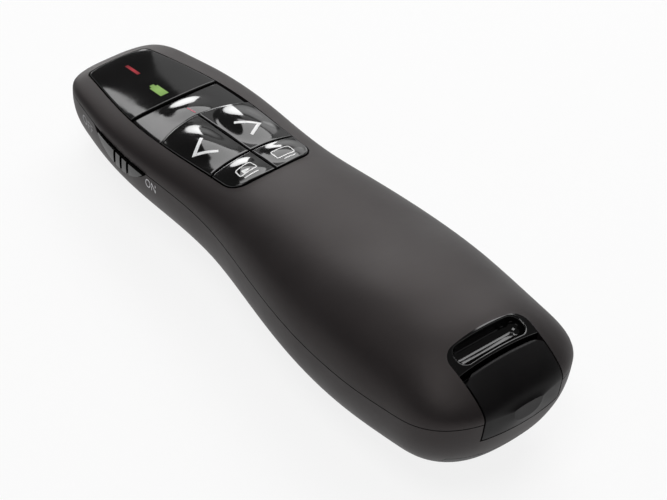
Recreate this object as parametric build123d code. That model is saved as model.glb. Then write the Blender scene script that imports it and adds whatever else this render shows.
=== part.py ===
from build123d import *
import math
import os

# Wireless presentation clicker: a moulded two-part casing that holds five keys, an indicator
# window, a side power slider, a laser module, two AAA cells and a USB receiver that slides out of
# the tail. Millimetres. +X is right, +Y points to the laser nose and +Z is up; the origin is under
# the middle of the body, on the plane that the belly rests on.

# ---------------------------------------------------------------- driving sizes
# Places along the body are measured from the tail tip, or from the nose tip where the name ends
# in _BACK. Half widths are measured from the middle plane.

# casing
LENGTH = 115.5
BELLY_HALF_WIDTH = 18.9
WAIST_HALF_WIDTH = 14.5
BELLY_CROWN = 26.9
KEYPAD_CROWN = 19.8
PARTING = 15.5
WALL = 1.6
TAIL_ROUND = 9.8
NOSE_ROUND = 6.6
TAIL_CROWN_ROUND = 15.0
NOSE_CROWN_ROUND = 6.1
TAIL_KEEL_ROUND = 19.1
NOSE_KEEL_ROUND = 8.0
SEAM_GAP = 0.2
LIP_HEIGHT = 1.1
LIP_CLEARANCE = 0.05
LIP_START = 3.0
LIP_END_BACK = 31.5
FUSE = 0.1

# keypad and window; a spot is half the distance between two keys and a place back from the nose
LASER_SPOT = (0.0, 24.0)
ARROW_SPOT = (5.1, 34.3)
SMALL_SPOT = (4.7, 45.6)
LASER_DOME = (0.0, 23.6)
ARROW_DOME = (5.1, 34.3)
SMALL_DOME = (4.7, 45.3)
LAMP_BACKS = (7.2, 15.5)
KEY_GAP = 0.3
KEY_THICKNESS = 1.3
KEY_PROUD = 0.3
KEY_TRAVEL = 0.5
RIM_ROUND = 0.25
RIM_FIND = 0.02
PLUNGER_RADIUS = 1.2
ROOT_BITE = 0.4
WINDOW_PROUD = 0.15
LASER_KEY_PROUD = -0.2
WINDOW_FRONT_BACK = 1.6
WINDOW_REAR_BACK = 19.9
WINDOW_LEDGE = 1.0
LASER_KEY_REAR_BACK = 26.5
ARROW_REAR_BACK = 41.6
KEYPAD_REAR_BACK = 49.1
LASER_KEY_ARC = 24.2
ARROW_ARC = 59.0
KEYPAD_FRONT_CORNER = 1.8
KEYPAD_REAR_CORNER = 3.3

# receiver and its dock
RECEIVER_HALF_WIDTH = 8.7
RECEIVER_THICKNESS = 6.5
RECEIVER_FLOOR = 14.8
RECEIVER_LENGTH = 47.0
RECEIVER_WALL = 1.5
RECEIVER_CLEARANCE = 0.1
RECEIVER_CHAMFER = 0.5
CAVITY_START = 4.0
RECEIVER_TRAVEL = 62.0
CAP_LENGTH = 8.0
PLUG_WIDTH = 12.0
PLUG_THICKNESS = 4.5
PLUG_LENGTH = 12.0
PLUG_WALL = 0.3
PLUG_WINDOW = 2.5
PLUG_WINDOW_LENGTH = 2.0
PLUG_WINDOW_BACK = 5.1
TONGUE_DROP = 0.15
TONGUE_BACK = 0.5
TONGUE_ROOT = 1.0
STRIP_WIDTH = 1.0
STRIP_THICKNESS = 0.15
RECEIVER_BOARD_HALF_WIDTH = 5.6
RECEIVER_BOARD_THICKNESS = 0.8
RECEIVER_CHIP_PLACE = 26.0
RECEIVER_CHIP_LENGTH = 5.0
RECEIVER_CHIP_HEIGHT = 0.9
DOCK_GAP = 0.3
DOCK_FRONT = 13.6
DOCK_BOW = 0.6
DOCK_CORNER = 2.6
SCOOP_SIDE_WALL = 1.3
SCOOP_DEPTH = 2.2
SCOOP_CORNER = 1.7
SCOOP_FRONT_WALL = 0.5
SCOOP_LIP = 0.7
SCOOP_GAP = 0.5
LIP_ROUND = 0.25
CAP_ROUND = 0.6
CAP_CORNER_WIDTH = 2.4
CAP_CORNER_DEPTH = 1.2

# cells and their bay
CELL_RADIUS = 5.25
CELL_LENGTH = 44.5
CELL_SPACING = 0.3
CELL_CLEARANCE = 0.05
NUB_RADIUS = 1.9
NUB_LENGTH = 0.8
BAY_TAIL = 14.0
BAY_LENGTH = 47.4
CONTACT_THICKNESS = 0.4
CONTACT_WIDTH = 8.0
TRAY_WALL = 1.0
TRAY_CLEARANCE = 0.8
TRAY_SIDE_LIFT = 0.8
TRAY_CELL_GAP = 0.3
TRAY_WALL_BOTTOM = 4.0
TRAY_WALL_PAST_CONTACT = 0.1
BAY_WALL = 1.2
DECK_THICKNESS = 0.7
SLEEVE_SIDE_CLEARANCE = 0.15
SLEEVE_ROOF_PLACE = 40.0
SLEEVE_CHEEK = 3.0
REST_PLACES = (20.0, 46.0)
REST_SIDE_GAP = 0.45
REST_OVERLAP = 1.0
REST_THICKNESS = 1.2
CONTACT_DROP = 3.0
LEAD_WIDTH = 2.0

# battery door
DOOR_HALF_WIDTH = 12.6
DOOR_TAIL_HEIGHT = 9.5
DOOR_HEEL = 12.0
DOOR_PAST_BAY = 3.0
DOOR_GAP = 0.15
DOOR_RIB_PLACES = (26.0, 46.0)
DOOR_RIB_HALF_WIDTH = 9.5
DOOR_RIB_THICKNESS = 1.0
DOOR_RIB_DROP = 2.7
GRIP_COUNT = 4
GRIP_PITCH = 1.6
GRIP_RADIUS = 0.4
GRIP_WIDTH = 12.0
GRIP_PAST_DOOR_FRONT = 6.0

# circuit board and what it carries
BOARD_TOP = 13.2
BOARD_THICKNESS = 1.0
BOARD_HALF_WIDTH = 9.6
BOARD_NOSE_HALF_WIDTH = 7.2
BOARD_REAR_BACK = 49.3
BOARD_FRONT_BACK = 6.0
BOARD_STEP_BACK = 15.5
SWITCH_SIDE = 6.0
SWITCH_HEIGHT = 2.6
SWITCH_FLOOR = 0.6
STEM_RADIUS = 1.75
STEM_CLEARANCE = 0.05
STEM_TOP = 16.6
LAMP_WIDTH = 2.0
LAMP_LENGTH = 1.6
LAMP_HEIGHT = 0.7
GUIDE_WIDTH = 3.0
GUIDE_LENGTH = 2.0

# power slider
SLIDER_PLACE_BACK = 23.1
SLIDER_LENGTH = 14.8
SLIDER_DEPTH = 3.5
SLIDER_TRAVEL = 2.0
SLIDER_PROUD = 0.6
SLIDER_GAP = 0.25
SLIDER_GROOVE = 0.7
SLIDER_GROOVE_DEPTH = 0.8
SLIDER_GROOVE_PITCH = 2.0
SLIDER_GROOVE_PLACE = -1.1
SLOT_END_GAP = 0.3
SLOT_DEPTH_GAP = 0.6
SKIRT_OVERLAP = 1.0
SKIRT_DROP = 1.1
SKIRT_FACE = 10.9
SKIRT_GAP = 0.55
LEVER_WIDTH = 1.5
LEVER_THICKNESS = 0.8
LEVER_CLEARANCE = 0.1
LEVER_LIFT = 0.5
LEVER_REACH = 0.5
LEVER_BITE = 1.5
FORK_THICKNESS = 0.8
FORK_GAP = 0.3
SLIDE_SWITCH_X = (-9.4, -5.9)
SLIDE_SWITCH_LENGTH = 8.0
SLIDE_SWITCH_HEIGHT = 2.4
SLIDE_SWITCH_SLOT = 1.7

# laser
LASER_AXIS = 8.6
BARREL_RADIUS = 3.0
BARREL_LENGTH = 12.0
BARREL_BACK = 2.9
BARREL_CLEARANCE = 0.02
LENS_RADIUS = 2.2
LENS_THICKNESS = 1.2
DIODE_RADIUS = 1.65
DIODE_LENGTH = 3.0
DIODE_RIM = 0.9
DIODE_RIM_THICKNESS = 0.6
BEZEL_BITE = 0.5
SADDLE_HALF_WIDTH = 5.0
SADDLE_THICKNESS = 1.2
SADDLE_INSET = 2.0
BEZEL_RADIUS = 3.4
APERTURE_RADIUS = 1.8

# screws
SCREW_RADIUS = 0.8
SCREW_LENGTH = 6.0
SCREW_HEAD_RADIUS = 1.5
SCREW_HEAD_HEIGHT = 1.0
SCREW_CLEARANCE = 0.2
SCREW_BITE = 0.05
BOSS_RADIUS = 1.9
SHELF_TOP = 11.4
SHELF_THICKNESS = 1.1
BOSS_SIDE_GAP = 0.3
BOSS_PLACE = 8.5
REAR_SCREW_BACK = 39.9
FRONT_SCREW_BACK = 18.5
FRONT_SCREW_X = 6.5
SCREW_TIP_GAP = 0.5

# how far cuts and blanks are drawn past the casing
TOP = 40.0
SIDE = 30.0
PAST = 5.0

# ---------------------------------------------------------------- casing lines


def at(place):
    """Y of a place measured from the tail tip."""
    return place - LENGTH / 2


def back(distance):
    """Y of a place measured from the nose tip."""
    return LENGTH / 2 - distance


def place_of(y):
    """Place along the body, from the tail tip, of a Y."""
    return y + LENGTH / 2


def smooth(knots):
    """A smooth line through (place, value) knots: a natural cubic spline, as a function of place."""
    last = len(knots) - 1
    gap = [knots[i + 1][0] - knots[i][0] for i in range(last)]
    slope = [(knots[i + 1][1] - knots[i][1]) / gap[i] for i in range(last)]
    swept = [(0.0, 0.0)]
    for i in range(1, last):
        pivot = 2 * (gap[i - 1] + gap[i]) - gap[i - 1] * swept[-1][0]
        load = 6 * (slope[i] - slope[i - 1]) - gap[i - 1] * swept[-1][1]
        swept.append((gap[i] / pivot, load / pivot))
    bend = [0.0] * (last + 1)
    for i in range(last - 1, 0, -1):
        bend[i] = swept[i][1] - swept[i][0] * bend[i + 1]

    def value(place):
        i = max([k for k in range(last) if place >= knots[k][0]], default=0)
        ahead = knots[i + 1][0] - place
        past = place - knots[i][0]
        h = gap[i]
        curve = (bend[i] * ahead**3 + bend[i + 1] * past**3) / (6 * h)
        start = (knots[i][1] / h - bend[i] * h / 6) * ahead
        end = (knots[i + 1][1] / h - bend[i + 1] * h / 6) * past
        return curve + start + end

    return value


# Where the lines are set out: the belly from the tail, the keypad from the nose
SET_OUT = [0, 14, 28, 42, 56, LENGTH - 45.5, LENGTH - 31.5, LENGTH - 17.5, LENGTH]


def line(values):
    """A smooth line with these values at the set-out places."""
    return smooth(list(zip(SET_OUT, values)))


half_width = line(
    [BELLY_HALF_WIDTH + step for step in (-2.8, -0.9, 0, -0.4)]
    + [WAIST_HALF_WIDTH + step for step in (1.8, 0, 0.4, -0.15, -4.2)]
)
crown = line(
    [BELLY_CROWN + step for step in (1.5, -0.1, 0, -1.8, -3.0)]
    + [KEYPAD_CROWN + step for step in (1.9, 0, -2.1, -4.7)]
)
parting = line([PARTING + step for step in (3.9, 0.9, -0.4, -0.2, 0.1, 0.4, 0, -0.6, -1.5)])
keel = line([-0.9, 0.75, -0.6, -0.6, -0.1, 0.8, 0.9, 0.35, 0.9])


def rounding(depth, radius, power):
    """Share of full size left at this depth from a rounded end: a superellipse quadrant."""
    if depth >= radius:
        return 1.0
    return (1 - (1 - depth / radius) ** power) ** (1 / power)


def extents(place, inset):
    """Half width, height over and depth under the parting line, of the casing moved in by inset."""
    tail = place - inset
    nose = LENGTH - inset - place
    width = half_width(place) - inset
    width *= rounding(tail, TAIL_ROUND - inset, 2.2) * rounding(nose, NOSE_ROUND - inset, 3.3)
    height = crown(place) - parting(place) - inset
    height *= rounding(tail, TAIL_CROWN_ROUND - inset, 1.5)
    height *= rounding(nose, NOSE_CROWN_ROUND - inset, 2.2)
    depth = parting(place) - keel(place) - inset
    depth *= rounding(tail, TAIL_KEEL_ROUND - inset, 2.2)
    depth *= rounding(nose, NOSE_KEEL_ROUND - inset, 2.2)
    return width, height, depth


def arch(place, width, height, power, count):
    """Half a superellipse across the body, over or under the parting line, as a spline edge."""
    points = []
    for k in range(count + 1):
        turn = math.pi * k / count
        across = abs(math.cos(turn)) ** (2 / power)
        x = -width * math.copysign(across, math.cos(turn))
        z = height * abs(math.sin(turn)) ** (2 / power)
        points.append(Vector(x, at(place), parting(place) + z))
    return Edge.make_spline(points, parameters=[k / count for k in range(count + 1)])


def crown_power(place):
    """Squareness of the upper half of a cross-section."""
    return 2.0 + 0.7 * place / LENGTH


def casing(inset, sections=14, points=8, ruled=False):
    """The casing as a solid, with its skin moved in by inset: a loft through cross-sections."""
    faces = []
    for k in range(sections + 1):
        turn = math.pi * (k + 0.4) / (sections + 0.8)
        place = inset + (LENGTH - 2 * inset) * (1 - math.cos(turn)) / 2
        width, height, depth = extents(place, inset)
        over = arch(place, width, height, crown_power(place), points)
        under = arch(place, width, -depth, 2.5 - 0.35 * place / LENGTH, points)
        faces.append(Face(Wire([over, under])))
    return loft(faces, ruled=ruled)


def core(inset):
    """The casing moved in by inset for faces that stay hidden: straight from section to section."""
    return casing(inset, sections=24, ruled=True)


def skin_height(x, y, inset=0.0):
    """Z of the upper skin, moved in by inset, over a point of the plan."""
    place = place_of(y)
    width, height, _ = extents(place, inset)
    power = crown_power(place)
    return parting(place) + height * (1 - abs(x / width) ** power) ** (1 / power)


def above_seam(rise):
    """Everything above the parting line moved up by rise: the line drawn out sideways."""
    places = [-2, 5, 14, 28, 42, 56]
    places += [LENGTH - 45.5, LENGTH - 31.5, LENGTH - 17.5, LENGTH - 8, LENGTH + 2]
    seam = Edge.make_spline([Vector(-SIDE, at(s), parting(s) + rise) for s in places])
    tail, nose = seam @ 0, seam @ 1
    corners = [nose, Vector(-SIDE, nose.Y, TOP), Vector(-SIDE, tail.Y, TOP), tail]
    sides = [Edge.make_line(a, b) for a, b in zip(corners, corners[1:])]
    return extrude(Face(Wire([seam] + sides)), amount=2 * SIDE, dir=(1, 0, 0))


# ---------------------------------------------------------------- small shapes


def block(x0, x1, y0, y1, z0, z1):
    """A box between two corners."""
    return Pos((x0 + x1) / 2, (y0 + y1) / 2, (z0 + z1) / 2) * Box(x1 - x0, y1 - y0, z1 - z0)


def pair(x0, x1, y0, y1, z0, z1):
    """Two boxes, one on each side of the middle plane."""
    return block(x0, x1, y0, y1, z0, z1) + block(-x1, -x0, y0, y1, z0, z1)


def post(x, y, z0, z1, radius):
    """An upright cylinder."""
    return Pos(x, y, (z0 + z1) / 2) * Cylinder(radius, z1 - z0)


def rod(x, z, y0, y1, radius):
    """A cylinder along Y."""
    return Pos(x, (y0 + y1) / 2, z) * Rot(90, 0, 0) * Cylinder(radius, y1 - y0)


def plan(y0, y1, x0=-SIDE, x1=SIDE):
    """A rectangle in plan."""
    return Pos((x0 + x1) / 2, (y0 + y1) / 2) * Rectangle(x1 - x0, y1 - y0)


def disc(front, radius):
    """A large disc in plan whose foremost point is at front."""
    return Pos(0, front - radius) * Circle(radius)


def drawn_up(outline, start=BOARD_TOP):
    """A plan outline drawn up through the upper skin."""
    return Pos(0, 0, start) * extrude(outline, amount=TOP - start, dir=(0, 0, 1))


def mirrored(shape):
    """The same shape on the other side of the middle plane."""
    return mirror(shape, about=Plane.YZ)


os.makedirs("parts", exist_ok=True)


def save(name, *shapes):
    """Write one node: its solids as they are, side by side."""
    pieces = []
    for shape in shapes:
        pieces.extend(shape.solids())
    node = pieces[0] if len(pieces) == 1 else Compound(children=pieces)
    export_step(node, f"parts/{name}.step")


outer = casing(0, sections=18, points=10)
inner = core(WALL)
inside_wall = core(WALL - FUSE)
key_back = core(KEY_THICKNESS)
key_skin = casing(-KEY_PROUD)
flush_skin = casing(-WINDOW_PROUD)
under_table = block(-SIDE, SIDE, at(-PAST), back(-PAST), -PAST, 0)

# ---------------------------------------------------------------- keypad outline

window_front = back(WINDOW_FRONT_BACK)
window_rear = back(WINDOW_REAR_BACK)
keypad_rear = back(KEYPAD_REAR_BACK)


def keypad_plan(inset):
    """The outline of the keypad and window in plan, moved in by inset."""
    front, rear = window_front - inset, keypad_rear + inset
    flank = [(6.95, front - 0.7), (8.65, back(10.5)), (9.95, back(18.5)), (10.4, back(25))]
    flank += [(10.25, back(33)), (9.85, back(39)), (9.5, rear + 0.5)]
    right = [(x - inset, y) for x, y in flank]
    left = [(inset - x, y) for x, y in flank]
    sides = [
        ThreePointArc(left[0], (0, front), right[0]).edge(),
        Spline(*right).edge(),
        ThreePointArc(right[-1], (0, rear), left[-1]).edge(),
        Spline(*left[::-1]).edge(),
    ]
    outline = make_face(sides)
    outline = fillet(outline.vertices().sort_by(Axis.Y)[2:], KEYPAD_FRONT_CORNER - inset)
    return fillet(outline.vertices().sort_by(Axis.Y)[:2], KEYPAD_REAR_CORNER - inset)


keypad_outline = keypad_plan(0)
ledge_outline = keypad_plan(WINDOW_LEDGE)
laser_rear = back(LASER_KEY_REAR_BACK)
arrow_rear = back(ARROW_REAR_BACK)


def key_plans(inset):
    """The outlines of window, laser key, right arrow key and right small key, moved in by inset."""
    step = KEY_GAP / 2 + inset
    keys = keypad_plan(KEY_GAP + inset)
    right_half = plan(at(0), back(0), x0=step)
    glass = keys & plan(window_rear + step, back(-PAST))
    laser = keys & plan(keypad_rear, window_rear - step)
    laser -= disc(laser_rear + step, LASER_KEY_ARC + step)
    arrow = keys & disc(laser_rear - step, LASER_KEY_ARC - step) & right_half
    arrow -= disc(arrow_rear + step, ARROW_ARC + step)
    small = keys & disc(arrow_rear - step, ARROW_ARC - step) & right_half
    return glass, laser, arrow, small


window_plan, laser_plan, arrow_plan, small_plan = key_plans(0)
dome_plans = key_plans(RIM_ROUND)[1:]

# ---------------------------------------------------------------- dock

dock_half_width = RECEIVER_HALF_WIDTH + DOCK_GAP
dock_floor = RECEIVER_FLOOR - DOCK_GAP
dock_shoulder = at(DOCK_FRONT - DOCK_BOW)
dock_sides = Polyline(
    (-dock_half_width, dock_shoulder),
    (-dock_half_width, at(-PAST)),
    (dock_half_width, at(-PAST)),
    (dock_half_width, dock_shoulder),
)
dock_arc = ThreePointArc(
    (dock_half_width, dock_shoulder), (0, at(DOCK_FRONT)), (-dock_half_width, dock_shoulder)
)
dock_plan = make_face(dock_sides.edges() + dock_arc.edges())
dock_plan = fillet(dock_plan.vertices().sort_by(Axis.Y)[2:], DOCK_CORNER)
tail_cut = block(-dock_half_width, dock_half_width, at(-PAST), at(CAP_LENGTH), dock_floor, TOP)
receiver_top = RECEIVER_FLOOR + RECEIVER_THICKNESS
sleeve_floor = RECEIVER_FLOOR - RECEIVER_CLEARANCE
sleeve_top = receiver_top + RECEIVER_CLEARANCE
sleeve_half = RECEIVER_HALF_WIDTH + SLEEVE_SIDE_CLEARANCE
roof_top = sleeve_top + TRAY_WALL

# ---------------------------------------------------------------- places inside

deck_bottom = sleeve_floor - DECK_THICKNESS
cell_pitch = 2 * CELL_RADIUS + CELL_SPACING
cell_axis = deck_bottom - CELL_RADIUS - CELL_CLEARANCE
bay_front = BAY_TAIL + BAY_LENGTH
door_front = bay_front + DOOR_PAST_BAY
rest_start = DOOR_HALF_WIDTH + DOOR_GAP + REST_SIDE_GAP
tray_half = cell_pitch / 2 + CELL_RADIUS + TRAY_CELL_GAP + TRAY_WALL
board_rear = back(BOARD_REAR_BACK)
board_front = back(BOARD_FRONT_BACK)
board_bottom = BOARD_TOP - BOARD_THICKNESS
barrel_front = back(BARREL_BACK)
barrel_rear = barrel_front - BARREL_LENGTH
slider_y = back(SLIDER_PLACE_BACK)
slot_y = slider_y + SLIDER_TRAVEL / 2
slot_length = SLIDER_LENGTH + SLIDER_TRAVEL + 2 * SLOT_END_GAP
slot_depth = SLIDER_DEPTH + SLOT_DEPTH_GAP
skirt_length = slot_length + 2 * SKIRT_OVERLAP
skirt_depth = slot_depth + SKIRT_DROP
shelf_bottom = SHELF_TOP - SHELF_THICKNESS
boss_x = dock_half_width + BOSS_RADIUS + BOSS_SIDE_GAP
boss_spots = [(-boss_x, at(BOSS_PLACE)), (boss_x, at(BOSS_PLACE))]
board_screw_spots = [(0, back(REAR_SCREW_BACK)), (FRONT_SCREW_X, back(FRONT_SCREW_BACK))]


def spot(x, distance):
    """A point of the plan: X and a place back from the nose."""
    return x, back(distance)


laser_spot = spot(*LASER_SPOT)
arrow_spot = spot(*ARROW_SPOT)
small_spot = spot(*SMALL_SPOT)

# ---------------------------------------------------------------- covers

seam_lip = block(-SIDE, SIDE, at(LIP_START), back(LIP_END_BACK), 0, TOP)


def make_top_cover():
    """The upper shell: openings for keys, window and dock, a rebate for the lip, screw bosses."""
    lip_top = SEAM_GAP / 2 + LIP_HEIGHT
    shell = (outer & above_seam(-SEAM_GAP)) - inner
    shell -= (core(WALL / 2) & seam_lip) - above_seam(lip_top)
    shell -= drawn_up(keypad_outline & plan(at(0), window_rear))
    shell -= drawn_up(ledge_outline & plan(window_rear - WINDOW_LEDGE, back(0)))
    shell -= drawn_up(keypad_outline & plan(window_rear, back(0))) - key_back
    shell -= drawn_up(dock_plan, dock_floor)
    for x, y in boss_spots:
        boss = post(x, y, SHELF_TOP, TOP, BOSS_RADIUS) & inside_wall
        shell += boss - post(x, y, 0, SHELF_TOP + SCREW_LENGTH, SCREW_RADIUS + SCREW_BITE)
    return shell


def side_arc(y, length, depth, reach):
    """Seen from the left: the parting line down to an arc that sinks to depth, drawn inward."""
    half = length / 2
    rim = parting(place_of(y)) - SEAM_GAP
    arc = ThreePointArc((-SIDE, y - half, rim), (-SIDE, y, rim - depth), (-SIDE, y + half, rim))
    corners = [Vector(-SIDE, y + half, rim), Vector(-SIDE, y + half, TOP)]
    corners += [Vector(-SIDE, y - half, TOP), Vector(-SIDE, y - half, rim)]
    sides = [Edge.make_line(a, b) for a, b in zip(corners, corners[1:])]
    return extrude(Face(Wire([arc.edge()] + sides)), amount=reach, dir=(1, 0, 0))


def door_region(gap):
    """The space of the battery door, grown by gap: a belly panel that runs out round the tail."""
    half = DOOR_HALF_WIDTH + gap
    panel = block(-half, half, at(DOOR_HEEL), at(door_front) + gap, -PAST, PARTING)
    heel = block(-half, half, at(-PAST), at(DOOR_HEEL), -PAST, DOOR_TAIL_HEIGHT + gap)
    return panel + heel


def make_bottom_cover():
    """The lower shell: door opening, slider slot, laser nose, screw shelf, saddles and rests."""
    lip_top = SEAM_GAP / 2 + LIP_HEIGHT - LIP_CLEARANCE
    shell = (outer - above_seam(-2 * SEAM_GAP)) - inner
    lip = (core(WALL / 2 + LIP_CLEARANCE) & seam_lip) - above_seam(lip_top)
    lip &= above_seam(-2 * SEAM_GAP - FUSE)
    shell += lip - inner
    shelf_half = boss_x + BOSS_RADIUS
    fittings = block(-shelf_half, shelf_half, at(0), at(DOOR_HEEL), shelf_bottom, SHELF_TOP)
    for x, y in board_screw_spots:
        fittings += post(x, y, 0, board_bottom, BOSS_RADIUS)
    for place in REST_PLACES:
        fittings += pair(rest_start, SIDE, at(place), at(place) + REST_THICKNESS, 0, deck_bottom)
    for y in (barrel_rear + SADDLE_INSET, barrel_front - SADDLE_INSET):
        y0, y1 = y - SADDLE_THICKNESS / 2, y + SADDLE_THICKNESS / 2
        fittings += block(-SADDLE_HALF_WIDTH, SADDLE_HALF_WIDTH, y0, y1, 0, LASER_AXIS)
    shell += fittings & inside_wall
    shell -= rod(0, LASER_AXIS, barrel_rear - PAST, barrel_front, BARREL_RADIUS + BARREL_CLEARANCE)
    shell -= rod(0, LASER_AXIS, barrel_front - BEZEL_BITE, back(-PAST), BEZEL_RADIUS)
    for x, y in boss_spots:
        shell -= post(x, y, 0, TOP, SCREW_RADIUS + SCREW_CLEARANCE)
    for x, y in board_screw_spots:
        shell -= post(x, y, board_bottom - SCREW_LENGTH, TOP, SCREW_RADIUS + SCREW_BITE)
    shell -= door_region(DOOR_GAP)
    shell -= tail_cut
    shell -= side_arc(slot_y, slot_length, slot_depth, SIDE - BOARD_NOSE_HALF_WIDTH)
    return shell - under_table


# ---------------------------------------------------------------- battery door


def make_door():
    """The door: a panel of the belly skin with a flat base, two cell ribs and grip grooves."""
    door = outer - inner
    for place in DOOR_RIB_PLACES:
        y0, y1 = at(place), at(place) + DOOR_RIB_THICKNESS
        rib = block(-DOOR_RIB_HALF_WIDTH, DOOR_RIB_HALF_WIDTH, y0, y1, 0, cell_axis - DOOR_RIB_DROP)
        for x in (-cell_pitch / 2, cell_pitch / 2):
            rib -= rod(x, cell_axis, y0 - PAST, y1 + PAST, CELL_RADIUS + 2 * CELL_CLEARANCE)
        door += rib & inside_wall
    door &= door_region(0)
    door -= under_table
    for k in range(GRIP_COUNT):
        y = at(door_front - GRIP_PAST_DOOR_FRONT - GRIP_PITCH * k)
        door -= Pos(0, y, keel(place_of(y))) * Rot(0, 90, 0) * Cylinder(GRIP_RADIUS, GRIP_WIDTH)
    return door


# ---------------------------------------------------------------- keys and window


def skin_tilt(y):
    """Slope of the crown along the body, in degrees."""
    place = place_of(y)
    return math.degrees(math.atan2(crown(place + 1) - crown(place - 1), 2))


def dome(x, y, radii, rise):
    """An ellipsoid whose cap stands this far over the skin, tilted with it."""
    z = skin_height(x, y) + rise - radii[2]
    lean = math.degrees(math.atan2(skin_height(x - 1, y) - skin_height(x + 1, y), 2))
    return Pos(x, y, z) * Rot(skin_tilt(y), lean, 0) * scale(Sphere(1), by=radii)


def round_rim(shape, outline, radius=RIM_ROUND):
    """The shape with its upper edges over the outline rounded."""
    border = outline.edges()
    rim = []
    for edge in shape.edges():
        points = [edge @ share for share in (0.1, 0.5, 0.9)]
        high = all(p.Z > skin_height(p.X, p.Y, KEY_THICKNESS / 2) for p in points)
        feet = [Vertex(p.X, p.Y, 0) for p in points]
        if high and all(min(side.distance_to(foot) for side in border) < RIM_FIND for foot in feet):
            rim.append(edge)
    return fillet(rim, radius)


def make_key(outline, dome_outline, foot, cap, skin):
    """A key: its outline through the skin, a domed top and a plunger down to its switch."""
    key = round_rim((drawn_up(outline) & skin) - key_back, outline)
    key += (drawn_up(dome_outline) & cap) - key_back
    x, y = foot
    root = skin_height(x, y, KEY_THICKNESS) + ROOT_BITE
    return key + post(x, y, STEM_TOP, root, PLUNGER_RADIUS)


def make_stem(foot):
    """The stem that a key presses into its switch."""
    x, y = foot
    low = BOARD_TOP + SWITCH_FLOOR + KEY_TRAVEL + STEM_CLEARANCE
    return post(x, y, low, STEM_TOP, STEM_RADIUS)


laser_dome = dome(*spot(*LASER_DOME), (6.6, 4.6, 2.8), 0.65)
arrow_dome = dome(*spot(*ARROW_DOME), (6.4, 9.6, 3.4), 1.05)
small_dome = dome(*spot(*SMALL_DOME), (5.6, 4.2, 2.6), 0.75)
laser_skin = casing(-LASER_KEY_PROUD)
laser_key = make_key(laser_plan, dome_plans[0], laser_spot, laser_dome, laser_skin)
next_key = make_key(arrow_plan, dome_plans[1], arrow_spot, arrow_dome, key_skin)
blank_key = make_key(small_plan, dome_plans[2], small_spot, small_dome, key_skin)
window = round_rim((drawn_up(window_plan) & flush_skin) - key_back, window_plan)

# ---------------------------------------------------------------- board


def make_board():
    """The circuit board, narrower at the nose, with two screw holes."""
    step = back(BOARD_STEP_BACK)
    wide = block(-BOARD_HALF_WIDTH, BOARD_HALF_WIDTH, board_rear, step, board_bottom, BOARD_TOP)
    nose = block(
        -BOARD_NOSE_HALF_WIDTH, BOARD_NOSE_HALF_WIDTH, step, board_front, board_bottom, BOARD_TOP
    )
    board = wide + nose
    for x, y in board_screw_spots:
        board -= post(x, y, 0, TOP, SCREW_RADIUS + SCREW_CLEARANCE)
    return board


def make_switch(foot):
    """A tactile switch body with a bore for its stem."""
    x, y = foot
    half = SWITCH_SIDE / 2
    body = block(x - half, x + half, y - half, y + half, BOARD_TOP, BOARD_TOP + SWITCH_HEIGHT)
    return body - post(x, y, BOARD_TOP + SWITCH_FLOOR, TOP, STEM_RADIUS + STEM_CLEARANCE)


def make_lamp(y):
    """A lamp on the board, under its mark in the window."""
    x1, half = LAMP_WIDTH / 2, LAMP_LENGTH / 2
    return block(-x1, x1, y - half, y + half, BOARD_TOP, BOARD_TOP + LAMP_HEIGHT)


def make_guide(y):
    """The clear guide from a lamp up to the back of the window."""
    x1, half = GUIDE_WIDTH / 2, GUIDE_LENGTH / 2
    return block(-x1, x1, y - half, y + half, BOARD_TOP + LAMP_HEIGHT, TOP) & key_back


def under_board(x, distance, width, length, height):
    """A chip under the board, centred at X and a place back from the nose."""
    y = back(distance)
    y0, y1 = y - length / 2, y + length / 2
    return block(x - width / 2, x + width / 2, y0, y1, board_bottom - height, board_bottom)


# ---------------------------------------------------------------- slider and its switch

lever_bottom = BOARD_TOP + LEVER_LIFT
lever_top = lever_bottom + LEVER_THICKNESS
switch_x0, switch_x1 = SLIDE_SWITCH_X
half_lever = LEVER_WIDTH / 2


def make_switch_housing():
    """The slide switch on the board, with a slot for its lever."""
    middle = slider_y + SLIDER_TRAVEL / 2
    y0, y1 = middle - SLIDE_SWITCH_LENGTH / 2, middle + SLIDE_SWITCH_LENGTH / 2
    housing = block(switch_x0, switch_x1, y0, y1, BOARD_TOP, BOARD_TOP + SLIDE_SWITCH_HEIGHT)
    housing -= block(
        switch_x0 - PAST,
        switch_x0 + SLIDE_SWITCH_SLOT,
        slider_y - half_lever - LEVER_CLEARANCE,
        slider_y + half_lever + SLIDER_TRAVEL + LEVER_CLEARANCE,
        lever_bottom - LEVER_CLEARANCE,
        lever_top + LEVER_CLEARANCE,
    )
    return housing


def make_lever():
    """The lever of the slide switch, in its ON place."""
    x0, x1 = LEVER_REACH - SKIRT_FACE, switch_x0 + LEVER_BITE
    return block(x0, x1, slider_y - half_lever, slider_y + half_lever, lever_bottom, lever_top)


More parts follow.
